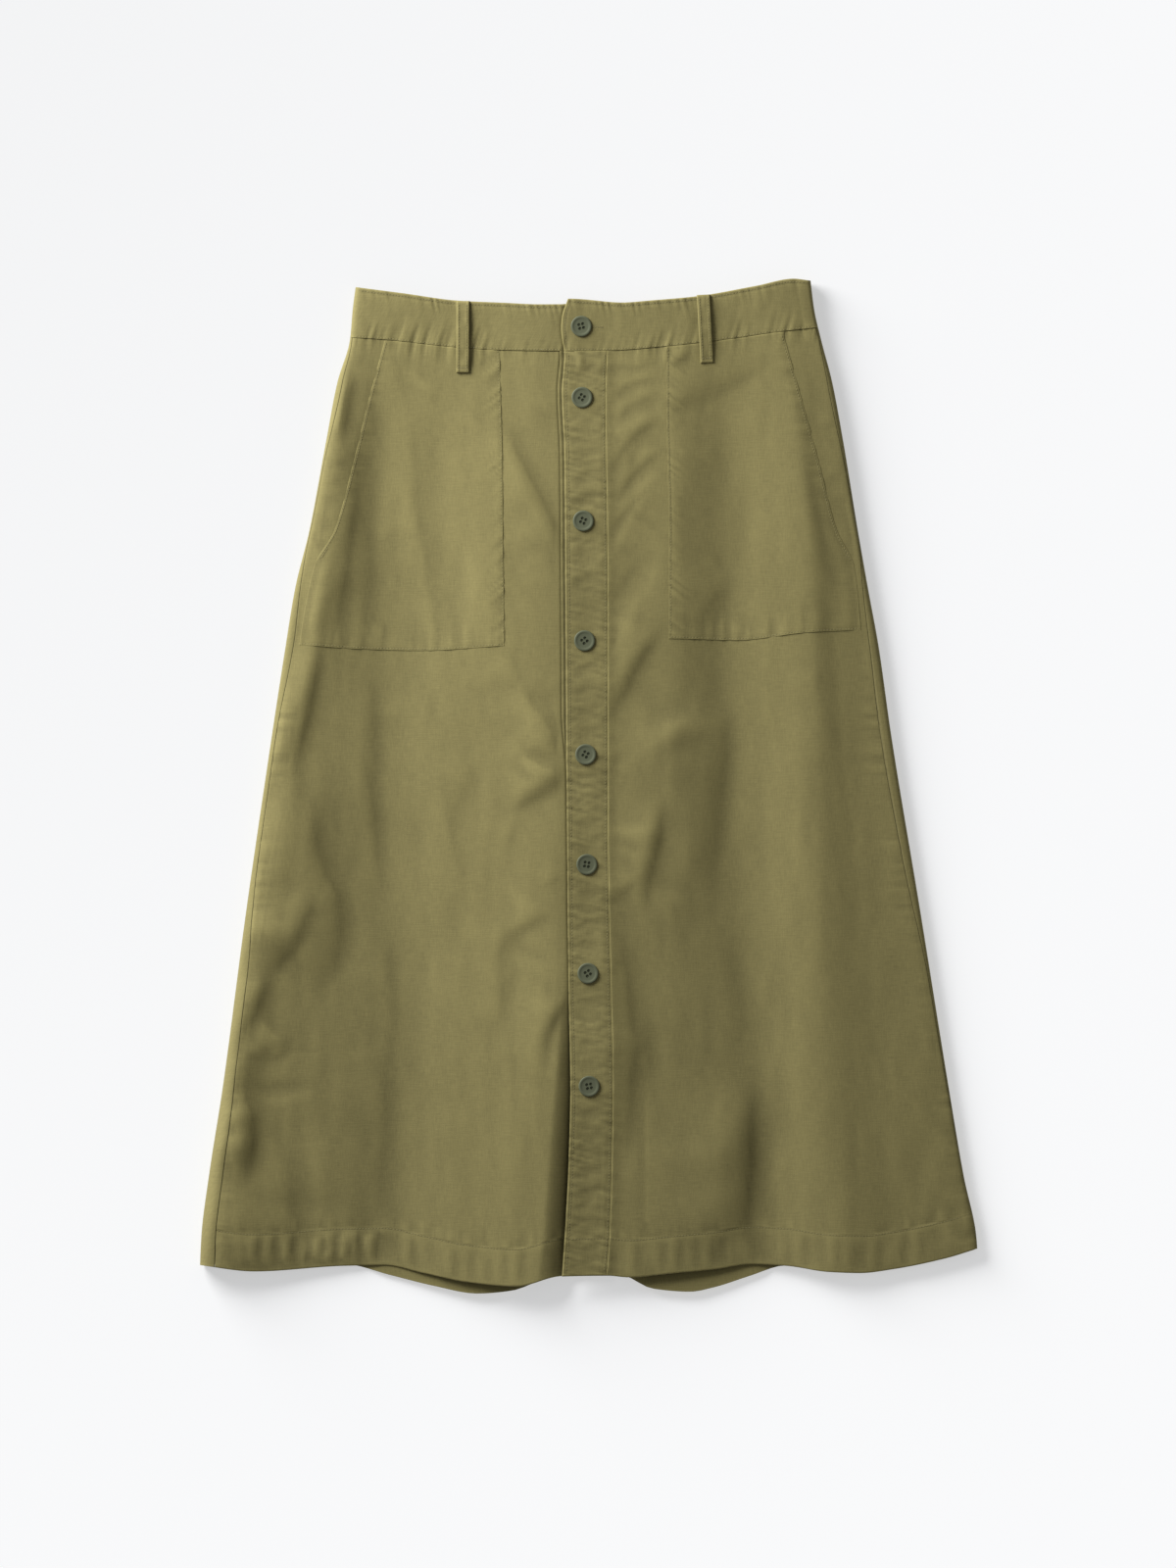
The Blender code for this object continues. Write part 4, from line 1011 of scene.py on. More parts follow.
def hem_relief(x, above):
    """The hem is turned up once, stitched, and puckered by its stitching."""
    inside = ease((HEM_DEPTH + 0.6 - above) / 1.4)
    middle = np.sin(np.clip(above / HEM_DEPTH, 0, 1) * math.pi)
    lift = HEM_LIFT * inside + HEM_SWELL * middle * noise(41, x / 6.5, above / 60)
    lift += puckers("hem", x, above - HEM_DEPTH)
    lift -= stripe("hem's groove", above - HEM_DEPTH)
    return lift - roll("hem", above)


def panel_wall(rows):
    return PANEL_WALL + HEM_EXTRA * (rows > 2)[:, None]


def right_front(material):
    rows = panel_rows(PANEL_STEP)
    side = side_points(rows, RIGHT, seam_to_top(SIDE_SHARES), panel_y)
    crest = crossing(lambda y: fold_line(0, y)[0], panel_y, rows)
    edge = crossing(placket_edge, panel_y, rows)
    dip = crossing(lambda y: placket_edge(y) - down(UNDERLAP_DIP, y, 2) - 6, panel_y, rows)
    end = crossing(lambda y: placket_seam(y) - UNDERLAP_SHORT, panel_y, rows)
    flat = strips(
        columns(crest, dip, PANEL_STEP),
        columns(dip, edge, DIP_STEP),
        columns(edge, end, UNDERLAP_STEP),
    )
    points = np.hstack([side, over_points(flat, rows, panel_y)])
    x, y = points[..., 0], points[..., 1]
    points[..., 2] -= underlap_sink(x, y, down(UNDERLAP_DIP, y), ledge_width(y))
    sheet = Sheet(points, side.shape[1])
    front_relief(sheet, RIGHT)
    sheet.lift *= 1 - ease((sheet.x - placket_edge(sheet.y)) / 6)
    return sheet.build("right_front", panel_wall(rows), material)


def left_front(material):
    rows = panel_rows(PANEL_STEP)
    start = crossing(lambda y: placket_seam(y) - 0.3, panel_y, rows)
    brow = crossing(lambda y: fold_line(-1, y)[0], panel_y, rows)
    flat = columns(start, brow, PANEL_STEP, first=SEAM)
    side = side_points(rows, LEFT, seam_to_top(SIDE_SHARES), panel_y)[:, ::-1]
    points = np.hstack([over_points(flat[:, :-1], rows, panel_y), side])
    sheet = Sheet(points)
    front_relief(sheet, LEFT)
    from_seam = sheet.x - placket_seam(sheet.y) + 0.3
    sheet.lift += puckers("front's placket seam", sheet.y, from_seam)
    sheet.lift += stripe("front beside the placket", from_seam)
    sheet.lift -= roll("front's placket seam", from_seam)
    # Painted highlight: a pale line on the lit ridge beside the placket's seam
    sheet.wear_and_painted_light += (0.25 + 0.2 * noise(65, sheet.y / 6)) * beside(from_seam - 0.5, 0.7)
    wall = mix(SEAM_WALL, panel_wall(rows), ease((from_seam - 0.8) / 2.5))
    return sheet.build("left_front", wall, material)


def under_columns(y_at, rows, step):
    """Columns over the flat underside, from the left fold to the right one."""
    start = crossing(lambda y: SideFold(y, LEFT).x - UNDER_ROLL, y_at, rows)
    end = crossing(lambda y: SideFold(y, RIGHT).x + UNDER_ROLL, y_at, rows)
    return columns(start, end, step)


def back(material):
    rows = panel_rows(BACK_STEP)

    def under(x, row, angle=-UP):
        return panel_y(x, row, BACK_HEM)

    turn = seam_to_under(UNDER_SHARES)
    left = side_points(rows, LEFT, turn, panel_y, under)
    right = side_points(rows, RIGHT, turn, panel_y, under)[:, ::-1]
    x = under_columns(under, rows, BACK_STEP)
    y = under(x, rows[:, None])
    points = np.hstack([left, np.stack([x, y, underside(y) + hem_curl(x, y)], 2), right])
    sheet = Sheet(points, left.shape[1])
    upper = sheet.base[..., 2] > SideFold(sheet.y, RIGHT).middle
    shown = relief(sheet.x, sheet.y) * side_fade(sheet.x, sheet.y)
    sheet.lift = np.where(upper, shown, 0.0)
    for side in (RIGHT, LEFT):
        fold = SideFold(sheet.y, side)
        from_seam = fold.seam_inset - fold.inset(sheet.x)
        beyond, from_seam = upper * (from_seam > -SIDE_SEAM_GAP), np.abs(from_seam)
        sheet.lift -= beyond * roll("side seam", from_seam)
        # Painted shade in the crevice at the side seam
        sheet.wear_and_painted_light -= beyond * shade("side seam", from_seam)
    sheet.wear_and_painted_light += stripe("back hem's wear", sheet.y - across(BACK_HEM, sheet.x))
    return sheet.build("back", panel_wall(rows), material)


def ledge_width(y):
    """The placket's under layer shows as a narrow ledge beside its edge, down to the hips."""
    return LEDGE_LEAST + LEDGE * ease((y - LEDGE_FOOT) / LEDGE_TAPER)


def placket(material):
    rows = panel_rows(PLACKET_STEP)
    edge = crossing(placket_edge, panel_y, rows)
    brink = crossing(lambda y: placket_edge(y) - ledge_width(y), panel_y, rows)
    seam = crossing(lambda y: placket_seam(y) + SEAM_LAP, panel_y, rows)
    ledge_x = mix(brink[:, None], edge[:, None], np.array([LEDGE_SHARES]))
    x = strips(ledge_x, columns(edge, seam, PLACKET_WIDTH_STEP, first=EDGE, last=SEAM))
    sheet = Sheet(over_points(x, rows, panel_y))
    x, y = sheet.x, sheet.y
    from_edge, from_seam = x - placket_edge(y), placket_seam(y) - x
    below_waist, above_hem = from_ends(x, y)
    ledge = ease(0.3 - from_edge / 0.5)
    lift = PLACKET_LIFT * mix(0.6, 1, ease(from_seam / 7))
    lift -= (0.3 + 0.6 * ease((from_edge + 1.7) / 1.7)) * ledge
    free = ease(from_seam / 5)
    own = PLACKET_CREASE_STRENGTH * crease_relief(x, y, PLACKET_CREASES)
    lift += relief(x, y) + own * free
    lift += puckers("placket's edge", y, from_edge) * (1 - ledge) * free
    lift += puckers("placket's seam", y, np.abs(from_seam))
    lift += 0.15 * noise(80, x / 9, (y - 0.2 * x) / 3.4) * free
    lift += puckers("placket's waist", x, below_waist) + hem_relief(x, above_hem)
    lift -= stripe("placket's groove", from_edge)
    lift -= 0.4 * ease(0.5 - from_seam / 0.6)
    lift -= (1 - ledge) * roll("placket's edge", np.maximum(from_edge, 0))
    lift -= roll("ledge", from_edge + ledge_width(y)) + roll("waist", below_waist)
    sheet.lift = lift
    # Painted highlight with edge wear along the lit free edge, and painted shade over the ledge
    # below it
    uneven = 0.7 + 0.5 * noise(85, y / 6)
    high = 0.25 + 0.75 * ease((y + 120) / 100)
    sheet.wear_and_painted_light += 0.35 * uneven * (0.6 + 0.4 * high) * beside(from_edge - 0.4, 0.6) - 0.4 * ledge
    # Painted shadow in the gap just beside the placket's edge, where its ledge is wide
    painted_shadow = beside(from_edge + 0.5, 0.6) * (ledge_width(y) - LEDGE_LEAST) / LEDGE
    sheet.wear_and_painted_light -= 1.2 * painted_shadow * (0.6 + 0.5 * noise(87, y / 5))
    sheet.pale_highs_shade_lows()
    wall = mix(PLACKET_EDGE_WALL, BAND_WALL, ease((from_edge - 1) / 5)) - 0.4 * ledge
    return sheet.build("placket_cloth", wall, material)


def opening_line(side):
    return lambda y: down(POCKET_LINES, y, OPENING_COLUMN[side])


def inner_line(side):
    return lambda y: down(POCKET_LINES, y, INNER_COLUMN[side])


def pocket(name, side, material):
    rows = steps_between(UPPER_LENGTH, POCKET_STEP, start=SEAM, end=EDGE) / UPPER_LENGTH
    lines = opening_line(side), inner_line(side)
    edges = [crossing(line, panel_y, rows) for line in lines[::-side]]
    x = columns(*edges, POCKET_STEP, first=EDGE, last=EDGE)
    sheet = Sheet(over_points(x, rows, panel_y))
    x, y = sheet.x, sheet.y
    from_opening, from_inner = (abs(x - line(y)) for line in lines)
    below_waist, above_foot = across(WAIST_SEAM, x) - y, y - across(POCKET_FOOT, x)
    closed = ease((OPENING_FOOT - y) / OPENING_TAPER) * ease(1 - from_opening / OPENING_WIDTH)
    lift = POCKET_LIFT * (0.5 + 0.5 * ease(from_opening / 9)) * (1 - 0.85 * closed)
    lift += relief(x, y) * side_fade(x, y)
    lift += puckers("waist", x, below_waist) + puckers("pocket's foot", x, above_foot)
    lift += puckers("pocket's side", y, from_inner)
    lift += puckers("pocket's opening", y, from_opening) * (1 - closed)
    lift -= roll(("pocket's opening", side), from_opening) * (1 - closed)
    lift -= roll(("pocket's side", side), from_inner) + roll("pocket's foot", above_foot)
    lift -= stripe("pocket's groove", from_inner) + stripe("pocket's groove", above_foot)
    lift -= roll("pocket's waist", below_waist)
    sheet.lift = lift
    # Paler on high folds with painted shade on low ones, and a worn pale line along the opening
    sheet.wear_and_painted_light += paled_and_shaded(sheet) + (1 - closed) * stripe("opening's wear", from_opening)
    # Painted shade in the crevices along the pocket's inner side and foot
    sheet.wear_and_painted_light -= shade("pocket's side", from_inner) + shade("pocket's foot", above_foot)
    sheet.wear_and_painted_light += stripe("foot's wear", above_foot) * (0.6 + noise(109, x / 1.4))
    sheet.pale_highs_shade_lows()
    return sheet.build(name, POCKET_WALL * (1 - 0.8 * closed), material)


def waistband_points():
    """Its rows, its sheet's points, and how many columns its upper and lower front ends have."""
    rows = steps_between(BAND_WIDTH, BAND_ROW_STEP, start=EDGE, end=EDGE) / BAND_WIDTH

    def over_y(x, row):
        return band_y(x, row, overlap_rise(x))

    def round_y(x, row, angle):
        return band_y(x, row, -BACK_WAIST_DROP * ease(-angle / UP))

    def back_y(x, row):
        return band_y(x, row, -BACK_WAIST_DROP)

    edge = crossing(placket_edge, over_y, rows)
    brow = crossing(lambda y: fold_line(-1, y)[0], over_y, rows)
    x = columns(edge, brow, BAND_STEP, first=EDGE)
    over = over_points(x[:, :-1], rows, over_y)
    over[..., 2] += WAISTBAND_LIFT
    turns = np.tile(BAND_TURNS, (len(rows), 1))
    left, right = (
        side_points(rows, side, lambda fold: turns[:, ::side], band_y, round_y, WAISTBAND_LIFT)
        for side in (LEFT, RIGHT)
    )
    under_x = under_columns(back_y, rows, BAND_BACK_STEP)[:, 1:-1]
    under_y = back_y(under_x, rows[:, None])
    under = np.stack([under_x, under_y, underside(under_y)], 2)
    crest = crossing(lambda y: fold_line(0, y)[0], band_y, rows)
    low_edge = crossing(placket_edge, band_y, rows)
    low_end = crossing(lambda y: placket_seam(y) - UNDERLAP_SHORT, band_y, rows)
    low_x = strips(columns(crest, low_edge, BAND_STEP), columns(low_edge, low_end, BAND_END_STEP))
    low = over_points(low_x[:, 1:], rows, band_y)
    low[..., 2] += WAISTBAND_LIFT - underlap_sink(low[..., 0], low[..., 1], WAISTBAND_DIP)
    return rows, np.hstack([over, left, under, right, low]), over.shape[1], low.shape[1]


def waistband(material):
    rows, points, over, low = waistband_points()
    sheet = Sheet(points)
    x, y = sheet.x, sheet.y
    column = np.arange(x.shape[1])
    overlap = 1.0 * (column < over)
    on_front = 1.0 * ((column < over + 3) | (column >= len(column) - low - 3))
    from_edge = x - placket_edge(y)
    under_placket = (1 - overlap) * ease(from_edge / 6) * on_front
    below_top = rows[:, None] * BAND_WIDTH + 0 * x
    above_seam = BAND_WIDTH - below_top
    lift = relief(x, y) + 0.14 * noise(129, x / 6, y / 12)
    lift += puckers("band's seam", x, above_seam) + puckers("band's top", x, below_top)
    lift *= on_front * side_fade(x, y, 16) * (1 - under_placket)
    lift -= stripe("band seam's groove", above_seam) * on_front
    lift -= stripe("band top's groove", below_top) * on_front
    lift -= (roll("band's top", below_top) + roll("band's seam", above_seam)) * on_front
    lift -= overlap * (roll("band's end", from_edge) + stripe("band end's groove", from_edge))
    sheet.lift = lift + BAND_END_PROUD * overlap * (1 - ease(from_edge / BAND_END_LENGTH))
    sheet.wear_and_painted_light += stripe("band top's wear", below_top) + stripe("band seam's wear", above_seam)
    sheet.wear_and_painted_light += overlap * stripe("band end's wear", from_edge)
    sheet.pale_highs_shade_lows()
    wall = BAND_WALL - 0.9 * overlap * (1 - ease(from_edge / 6))
    return sheet.build("waistband_cloth", wall, material)


# Loops, buttons and sewing


def loop(name, top, foot, material, flat=None):
    """A belt loop from its top to its foot. flat is the height of a loop that is pressed flat."""
    top, foot = np.array(top), np.array(foot)
    length = np.hypot(*(foot - top))
    ahead = (foot - top) / length
    rows = steps_between(length, LOOP_STEP, start=EDGE, end=EDGE)
    places = steps_between(LOOP_WIDTH, LOOP_WIDTH_STEP, start=EDGE[:4], end=EDGE[:4])
    down_by, out_by = np.meshgrid(rows, places - LOOP_WIDTH / 2, indexing="ij")
    x = top[0] + ahead[0] * down_by - ahead[1] * out_by
    y = top[1] + ahead[1] * down_by + ahead[0] * out_by
    if flat is None:
        z = front_height(x, y) + LOOP_LIFT + LOOP_BOW * np.sin(math.pi * down_by / length)
    else:
        z = np.full(x.shape, flat)
    sheet = Sheet(np.stack([x, y, z], 2))
    edge = np.minimum(places, LOOP_WIDTH - places)[None]
    if flat is None:
        lift = 0.18 * noise(151, x / 3 + top[0], y / 7) - 0.12 * ease((edge - 1.6) / 1.2)
        lift = lift - roll("loop's side", edge)
        lift -= roll("loop's top", down_by) + roll("loop's foot", length - down_by)
        lift -= stripe("loop's groove", length - down_by)
    else:
        lift = 0 * x - roll("flat loop", edge)
    sheet.lift = lift
    sheet.wear_and_painted_light += stripe("loop side's wear", edge) + stripe("loop foot's wear", length - down_by)
    sheet.pale_highs_shade_lows()
    return sheet.build(name, LOOP_WALL, material)


class Surface:
    """Finds the upper or lower side of a piece at a place."""

    def __init__(self, piece):
        mesh = piece.data
        points = [tuple(vert.co) for vert in mesh.vertices]
        faces = [tuple(face.vertices) for face in mesh.polygons]
        self.tree = BVHTree.FromPolygons(points, faces)

    def land(self, x, y, below=False):
        """(point, normal) in millimetres."""
        way = 1 if below else -1
        start, ahead = Vector((x * MM, y * MM, -way)), Vector((0, 0, way))
        found, normal, _, _ = self.tree.ray_cast(start, ahead)
        if found is None:
            return None, None
        return found / MM, normal


def stitch_form():
    """One stitch, a millimetre long on X, as points and faces."""
    bpy.ops.mesh.primitive_uv_sphere_add(segments=6, ring_count=5, radius=0.5)
    blank = bpy.context.object
    bpy.ops.object.mode_set(mode="EDIT")
    bpy.ops.transform.rotate(value=UP, orient_axis="Y", center_override=(0, 0, 0))
    bpy.ops.mesh.select_all(action="DESELECT")
    bpy.ops.object.mode_set(mode="OBJECT")
    for vert in blank.data.vertices:
        vert.select = abs(vert.co.x) < 0.45
    bpy.ops.object.mode_set(mode="EDIT")
    bpy.ops.transform.resize(value=(1.3, 1.15, 1.15), center_override=(0, 0, 0))
    bpy.ops.object.mode_set(mode="OBJECT")
    points = np.array([vert.co[:] for vert in blank.data.vertices])
    faces = [tuple(face.vertices) for face in blank.data.polygons]
    bpy.data.objects.remove(blank, do_unlink=True)
    return points, faces


class Sewing:
    """Gathers stitches for one piece of thread work."""

    form = None

    def __init__(self, name, surface, pitch=2.4, thick=0.34):
        if Sewing.form is None:
            Sewing.form = stitch_form()
        self.name, self.surface, self.pitch, self.thick = name, surface, pitch, thick
        self.spans = []

    def line(self, path, below=False, pitch=None, fill=0.72):
        """A row of stitches along points on the skirt."""
        path = np.array(path, float)
        pitch = pitch or self.pitch
        knots = path_lengths(path)
        starts = np.arange(0.3, knots[-1] - pitch * fill, pitch)
        for k, start in enumerate(starts):
            uneven = 1 + 0.08 * math.sin(2.3 * k + len(self.spans))
            ends = []
            for at in (start, start + pitch * fill * uneven):
                x, y = (np.interp(at, knots, path[:, axis]) for axis in (0, 1))
                point, normal = self.surface.land(x, y, below)
                if point is None:
                    break
                ends.append((point, normal))
            if len(ends) == 2 and (ends[0][0] - ends[1][0]).length < 2 * pitch:
                self.spans.append((*ends[0], ends[1][0]))

    def build(self, material, sink=0.02):
        points, faces = Sewing.form
        verts, polygons = [], []
        for start, normal, end in self.spans:
            ahead = end - start
            aside = normal.cross(ahead).normalized()
            up = ahead.normalized().cross(aside)
            middle = (start + end) / 2 + up * sink
            for x, y, z in points:
                round_middle = aside * (y * self.thick) + up * (z * self.thick)
                verts.append((middle + ahead * x + round_middle) * MM)
            first = len(verts) - len(points)
            polygons += [tuple(first + k for k in face) for face in faces]
        mesh = bpy.data.meshes.new(self.name)
        mesh.from_pydata(verts, [], polygons)
        piece = add_piece(self.name, mesh, material)
        return piece


def turned(name, profile, sides):
    """A turned solid, grown ring by ring from its foot to its middle."""
    radius, height = profile[0]
    bpy.ops.mesh.primitive_circle_add(
        vertices=sides, radius=radius * MM, fill_type="NGON", location=(0, 0, height * MM)
    )
    blank = bpy.context.object
    blank.name = name
    bpy.ops.object.mode_set(mode="EDIT")
    bpy.ops.mesh.select_all(action="SELECT")
    for (wide, low), (narrow, high) in zip(profile, profile[1:]):
        rise = (0, 0, (high - low) * MM)
        bpy.ops.mesh.extrude_region_move(TRANSFORM_OT_translate={"value": rise})
        share = narrow / wide
        bpy.ops.transform.resize(value=(share, share, 1), center_override=(0, 0, high * MM))
    bpy.ops.mesh.select_all(action="SELECT")
    bpy.ops.mesh.normals_make_consistent(inside=False)
    bpy.ops.object.mode_set(mode="OBJECT")
    bpy.ops.object.transform_apply(location=True, rotation=True, scale=True)
    return blank


# Buttons: their holes' radius and distance from the middle, and the height of the drill's middle;
# the rings under a button where it feels for the cloth, and the share of the bumps it rides on
BUTTON_HOLE, BUTTON_HOLE_OUT, BUTTON_DRILL = 1.22, 2.15, 5.1
BUTTON_RINGS, BUTTON_SINK = (3.0, 5.5, 7.2), 0.4
BUTTONS_Y = (358.7, 303.2, 206.9, 113.5, 24.8, -60.9, -145.8, -233.8)
BUTTON_TOP_X, BUTTON_LEAN = -5.9, 0.0103
BUTTON_SPINS = (0.1, 0.45, 0.62, 0.35, 0.5, 0.05, 0.2, 0.55)
BUTTON_PROFILE = (  # radius, height: underside, wall, rim, dish
    (6.6, 0.0), (7.4, 0.15), (7.9, 0.5), (8.15, 0.8), (8.1, 1.1), (7.8, 1.3), (7.3, 1.4),
    (6.7, 1.37), (6.2, 1.25), (5.8, 1.12), (5.3, 1.06), (3.0, 1.07), (0.6, 1.08),
)


def button_form():
    """A four-hole button with a raised rim and a dished middle."""
    blank = turned("button_form", BUTTON_PROFILE, 40)
    for k in range(4):
        angle = math.pi / 4 + k * UP
        place = BUTTON_HOLE_OUT * math.cos(angle), BUTTON_HOLE_OUT * math.sin(angle), BUTTON_DRILL
        bpy.ops.mesh.primitive_cylinder_add(
            vertices=14, radius=BUTTON_HOLE * MM, depth=10 * MM, location=Vector(place) * MM
        )
        drill = bpy.context.object
        cut = blank.modifiers.new(f"hole_{k}", "BOOLEAN")
        cut.object, cut.solver = drill, "EXACT"
        bpy.ops.object.select_all(action="DESELECT")
        bpy.context.view_layer.objects.active = blank
        bpy.ops.object.modifier_apply(modifier=cut.name)
        bpy.data.objects.remove(drill, do_unlink=True)
    blank.select_set(True)
    bpy.ops.object.shade_smooth_by_angle(angle=math.radians(50))
    blank.select_set(False)
    return blank


def seat(surface, x, y):
    """Where a button rests on the cloth: its place, and the way it faces."""
    near = [(0.0, 0.0)]
    for reach in BUTTON_RINGS:
        near += [(reach * math.cos(k * UP / 3), reach * math.sin(k * UP / 3)) for k in range(12)]
    near = np.array(near)
    high = np.array([surface.land(x + dx, y + dy)[0][2] for dx, dy in near])
    terms = np.c_[near, np.ones(len(near))]
    slope_x, slope_y, height = np.linalg.lstsq(terms, high, rcond=None)[0]
    proud = (high - terms @ (slope_x, slope_y, height)).max()
    place = Vector((x, y, height + BUTTON_SINK * proud))
    return place, Vector((-slope_x, -slope_y, 1)).normalized()


def button(k, form, surface, material):
    y = BUTTONS_Y[k]
    x = BUTTON_TOP_X + BUTTON_LEAN * (BUTTONS_Y[0] - y)
    place, normal = seat(surface, x, y)
    turn = normal.to_track_quat("Z", "Y").to_matrix().to_4x4()
    spin = Matrix.Rotation(BUTTON_SPINS[k], 4, "Z")
    whole = Matrix.Translation(place * MM) @ turn @ spin
    mesh = form.data.copy()
    mesh.name = f"button_{k + 1}_form"
    mesh.transform(whole)
    mesh.materials.clear()
    mesh.materials.append(material)
    piece = bpy.data.objects.new(f"horn_button_{k + 1}", mesh)
    bpy.context.scene.collection.objects.link(piece)
    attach(piece, BODY)
    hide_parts(f"button_{k + 1}")
    return piece


# Rows of stitches


def path_down(x_at, from_y, to_y):
    """Points down the skirt along a line given by its x at each height."""
    y = np.arange(from_y, to_y, -2.0)
    return np.stack([x_at(y), y], 1)


def path_across(y_at, from_x, to_x):
    """Points across the skirt along a line given by its y at each place."""
    x = np.arange(from_x, to_x, 2.0)
    return np.stack([x, y_at(x)], 1)


def sew_hem(sewing, from_x, to_x, hem=FRONT_HEM, below=False):
    """The row of stitches that holds a hem's turning."""
    stitch_y = HEM_DEPTH - HEM_STITCH
    sewing.line(path_across(lambda x: across(hem, x) + stitch_y, from_x, to_x), below)


def sew_placket(surface, thread):
    sewing = Sewing("placket_stitches", surface)
    for x_at in (lambda y: placket_edge(y) + EDGE_STITCH, lambda y: placket_seam(y) - SEAM_STITCH):
        sewing.line(path_down(x_at, STITCHES_TOP, STITCHES_FOOT))
    sew_hem(sewing, -14, 16)
    return sewing.build(thread)


def sew_panel(name, surface, from_x, to_x, thread):
    sewing = Sewing(name, surface)
    sew_hem(sewing, from_x, to_x)
    return sewing.build(thread)


def sew_back(surface, thread):
    sewing = Sewing("back_stitches", surface, pitch=3.0)
    sew_hem(sewing, -290, 290, BACK_HEM, below=True)
    return sewing.build(thread, sink=-0.12)


def sew_pocket(name, side, surface, thread):
    opening, inner = opening_line(side), inner_line(side)
    sewing = Sewing(name, surface)
    low, high = sorted(float(line(110.0)) for line in (opening, inner))
    sewing.line(path_across(lambda x: across(POCKET_FOOT, x) + FOOT_STITCH, low + 1, high - 1))
    top = 340 if side == RIGHT else 346
    sewing.line(path_down(lambda y: inner(y) + side * INNER_STITCH, top, 116))
    sewing.line(path_down(lambda y: opening(y) - side * OPENING_STITCH, top + 6, 174))
    tack = path_down(lambda y: opening(y) - side * OPENING_TACK, 186, 176)
    sewing.line(tack, pitch=0.8, fill=0.95)
    return sewing.build(thread)


def sew_waistband(surface, thread):
    sewing = Sewing("waistband_stitches", surface)

    def low(x):
        return across(WAIST_SEAM, x) + BAND_SEAM_STITCH

    def high(x):
        rise = np.where(x > -20, overlap_rise(x), 0)
        return across(WAIST_TOP, x) + rise - BAND_TOP_STITCH

    for y_at, from_x, to_x in (
        (low, -182, -20), (low, -15.5, 176), (high, -178, -19), (high, -12.5, 170),
    ):
        sewing.line(path_across(y_at, from_x, to_x))
    sewing.line(path_down(lambda y: placket_edge(y) + BAND_END_STITCH, 376, 342), pitch=2.0)
    for off in (-0.45, 0.45):
        sewing.line([(BUTTON_TOP_X + 7.0, 358.4 + off), (10.6, 358.0 + off)], pitch=0.7, fill=0.9)
    sewing.line([(10.8, 357.0), (10.8, 359.2)], pitch=0.6, fill=0.95)
    for y_at in (lambda x: across(WAIST_SEAM, x) + 2.2, lambda x: across(WAIST_TOP, x) - 4.0):
        sewing.line(path_across(y_at, -176, 170), below=True)
    return sewing.build(thread)


def sew_loop(name, piece, top, foot, thread, below=False):
    sewing = Sewing(name, Surface(piece), pitch=2.2, thick=0.36)
    top, foot = np.array(top), np.array(foot)
    ahead = (foot - top) / np.hypot(*(foot - top))
    aside = np.array([-ahead[1], ahead[0]])
    for side in (-1, 1):
        shift = aside * side * (LOOP_WIDTH / 2 - 1.9)
        sewing.line([top + shift + ahead * 2.5, foot + shift - ahead * 1.2], below)
    for back in (3.4, 4.2):
        tack = foot - ahead * back
        sewing.line([tack - aside * 4.2, tack + aside * 4.2], below, pitch=0.9, fill=0.95)
    return sewing.build(thread, sink=-0.1 if below else 0.06)


# Finishes


class Value:
    """A number from a material's node, used like a number."""

    def __init__(self, graph, socket):
        self.graph, self.socket = graph, socket

    def math(self, operation, other):
        return self.graph.math(operation, self, other)

    def flipped(self, operation, other):
        return self.graph.math(operation, other, self)

    def __add__(self, other):
        return self.math("ADD", other)

    def __sub__(self, other):
        return self.math("SUBTRACT", other)

    def __rsub__(self, other):
        return self.flipped("SUBTRACT", other)

    def __mul__(self, other):
        return self.math("MULTIPLY", other)

    def __truediv__(self, other):
        return self.math("DIVIDE", other)

    def __rtruediv__(self, other):
        return self.flipped("DIVIDE", other)

    __radd__, __rmul__ = __add__, __mul__


class Graph:
    """A material's nodes."""

    def __init__(self, name, colour, roughness, **settings):
        self.material = bpy.data.materials.new(name)
        self.material.use_nodes = True
        self.tree = self.material.node_tree
        self.shader = self.tree.nodes["Principled BSDF"]
        self.set(self.shader, {"Base Color": (*colour, 1.0), "Roughness": roughness, **settings})

    def add(self, kind, settings=(), **inputs):
        node = self.tree.nodes.new(kind)
        for key, value in dict(settings).items():
            setattr(node, key, value)
        self.set(node, inputs)
        return node

    def set(self, node, inputs):
        for key, value in inputs.items():
            self.feed(node.inputs[key], value)

    def feed(self, slot, value):
        if isinstance(value, Value):
            self.tree.links.new(value.socket, slot)
        elif isinstance(value, bpy.types.NodeSocket):
            self.tree.links.new(value, slot)
        else:
            slot.default_value = value

    def value(self, node, output=0):
        return Value(self, node.outputs[output])

    def math(self, operation, *terms, kind="ShaderNodeMath"):
        node = self.add(kind, {"operation": operation})
        for slot, term in zip(node.inputs, terms):
            self.feed(slot, term)
        return self.value(node)

    def noise(self, vector, scale, detail=2.0, rough=0.5):
        place = self.math("MULTIPLY", vector, scale, kind="ShaderNodeVectorMath")
        inputs = {"Vector": place, "Scale": 1.0, "Detail": detail, "Roughness": rough}
        return self.value(self.add("ShaderNodeTexNoise", {}, **inputs))

    def colour_scaled(self, colour, factor):
        node = self.add("ShaderNodeVectorMath", {"operation": "SCALE"})
        self.feed(node.inputs[0], colour)
        self.feed(node.inputs["Scale"], factor)
        return node.outputs[0]


# Colours of the cloth, the thread and the buttons
TWILL, THREAD, HORN = (0.212, 0.183, 0.071), (0.228, 0.199, 0.086), (0.102, 0.112, 0.066)


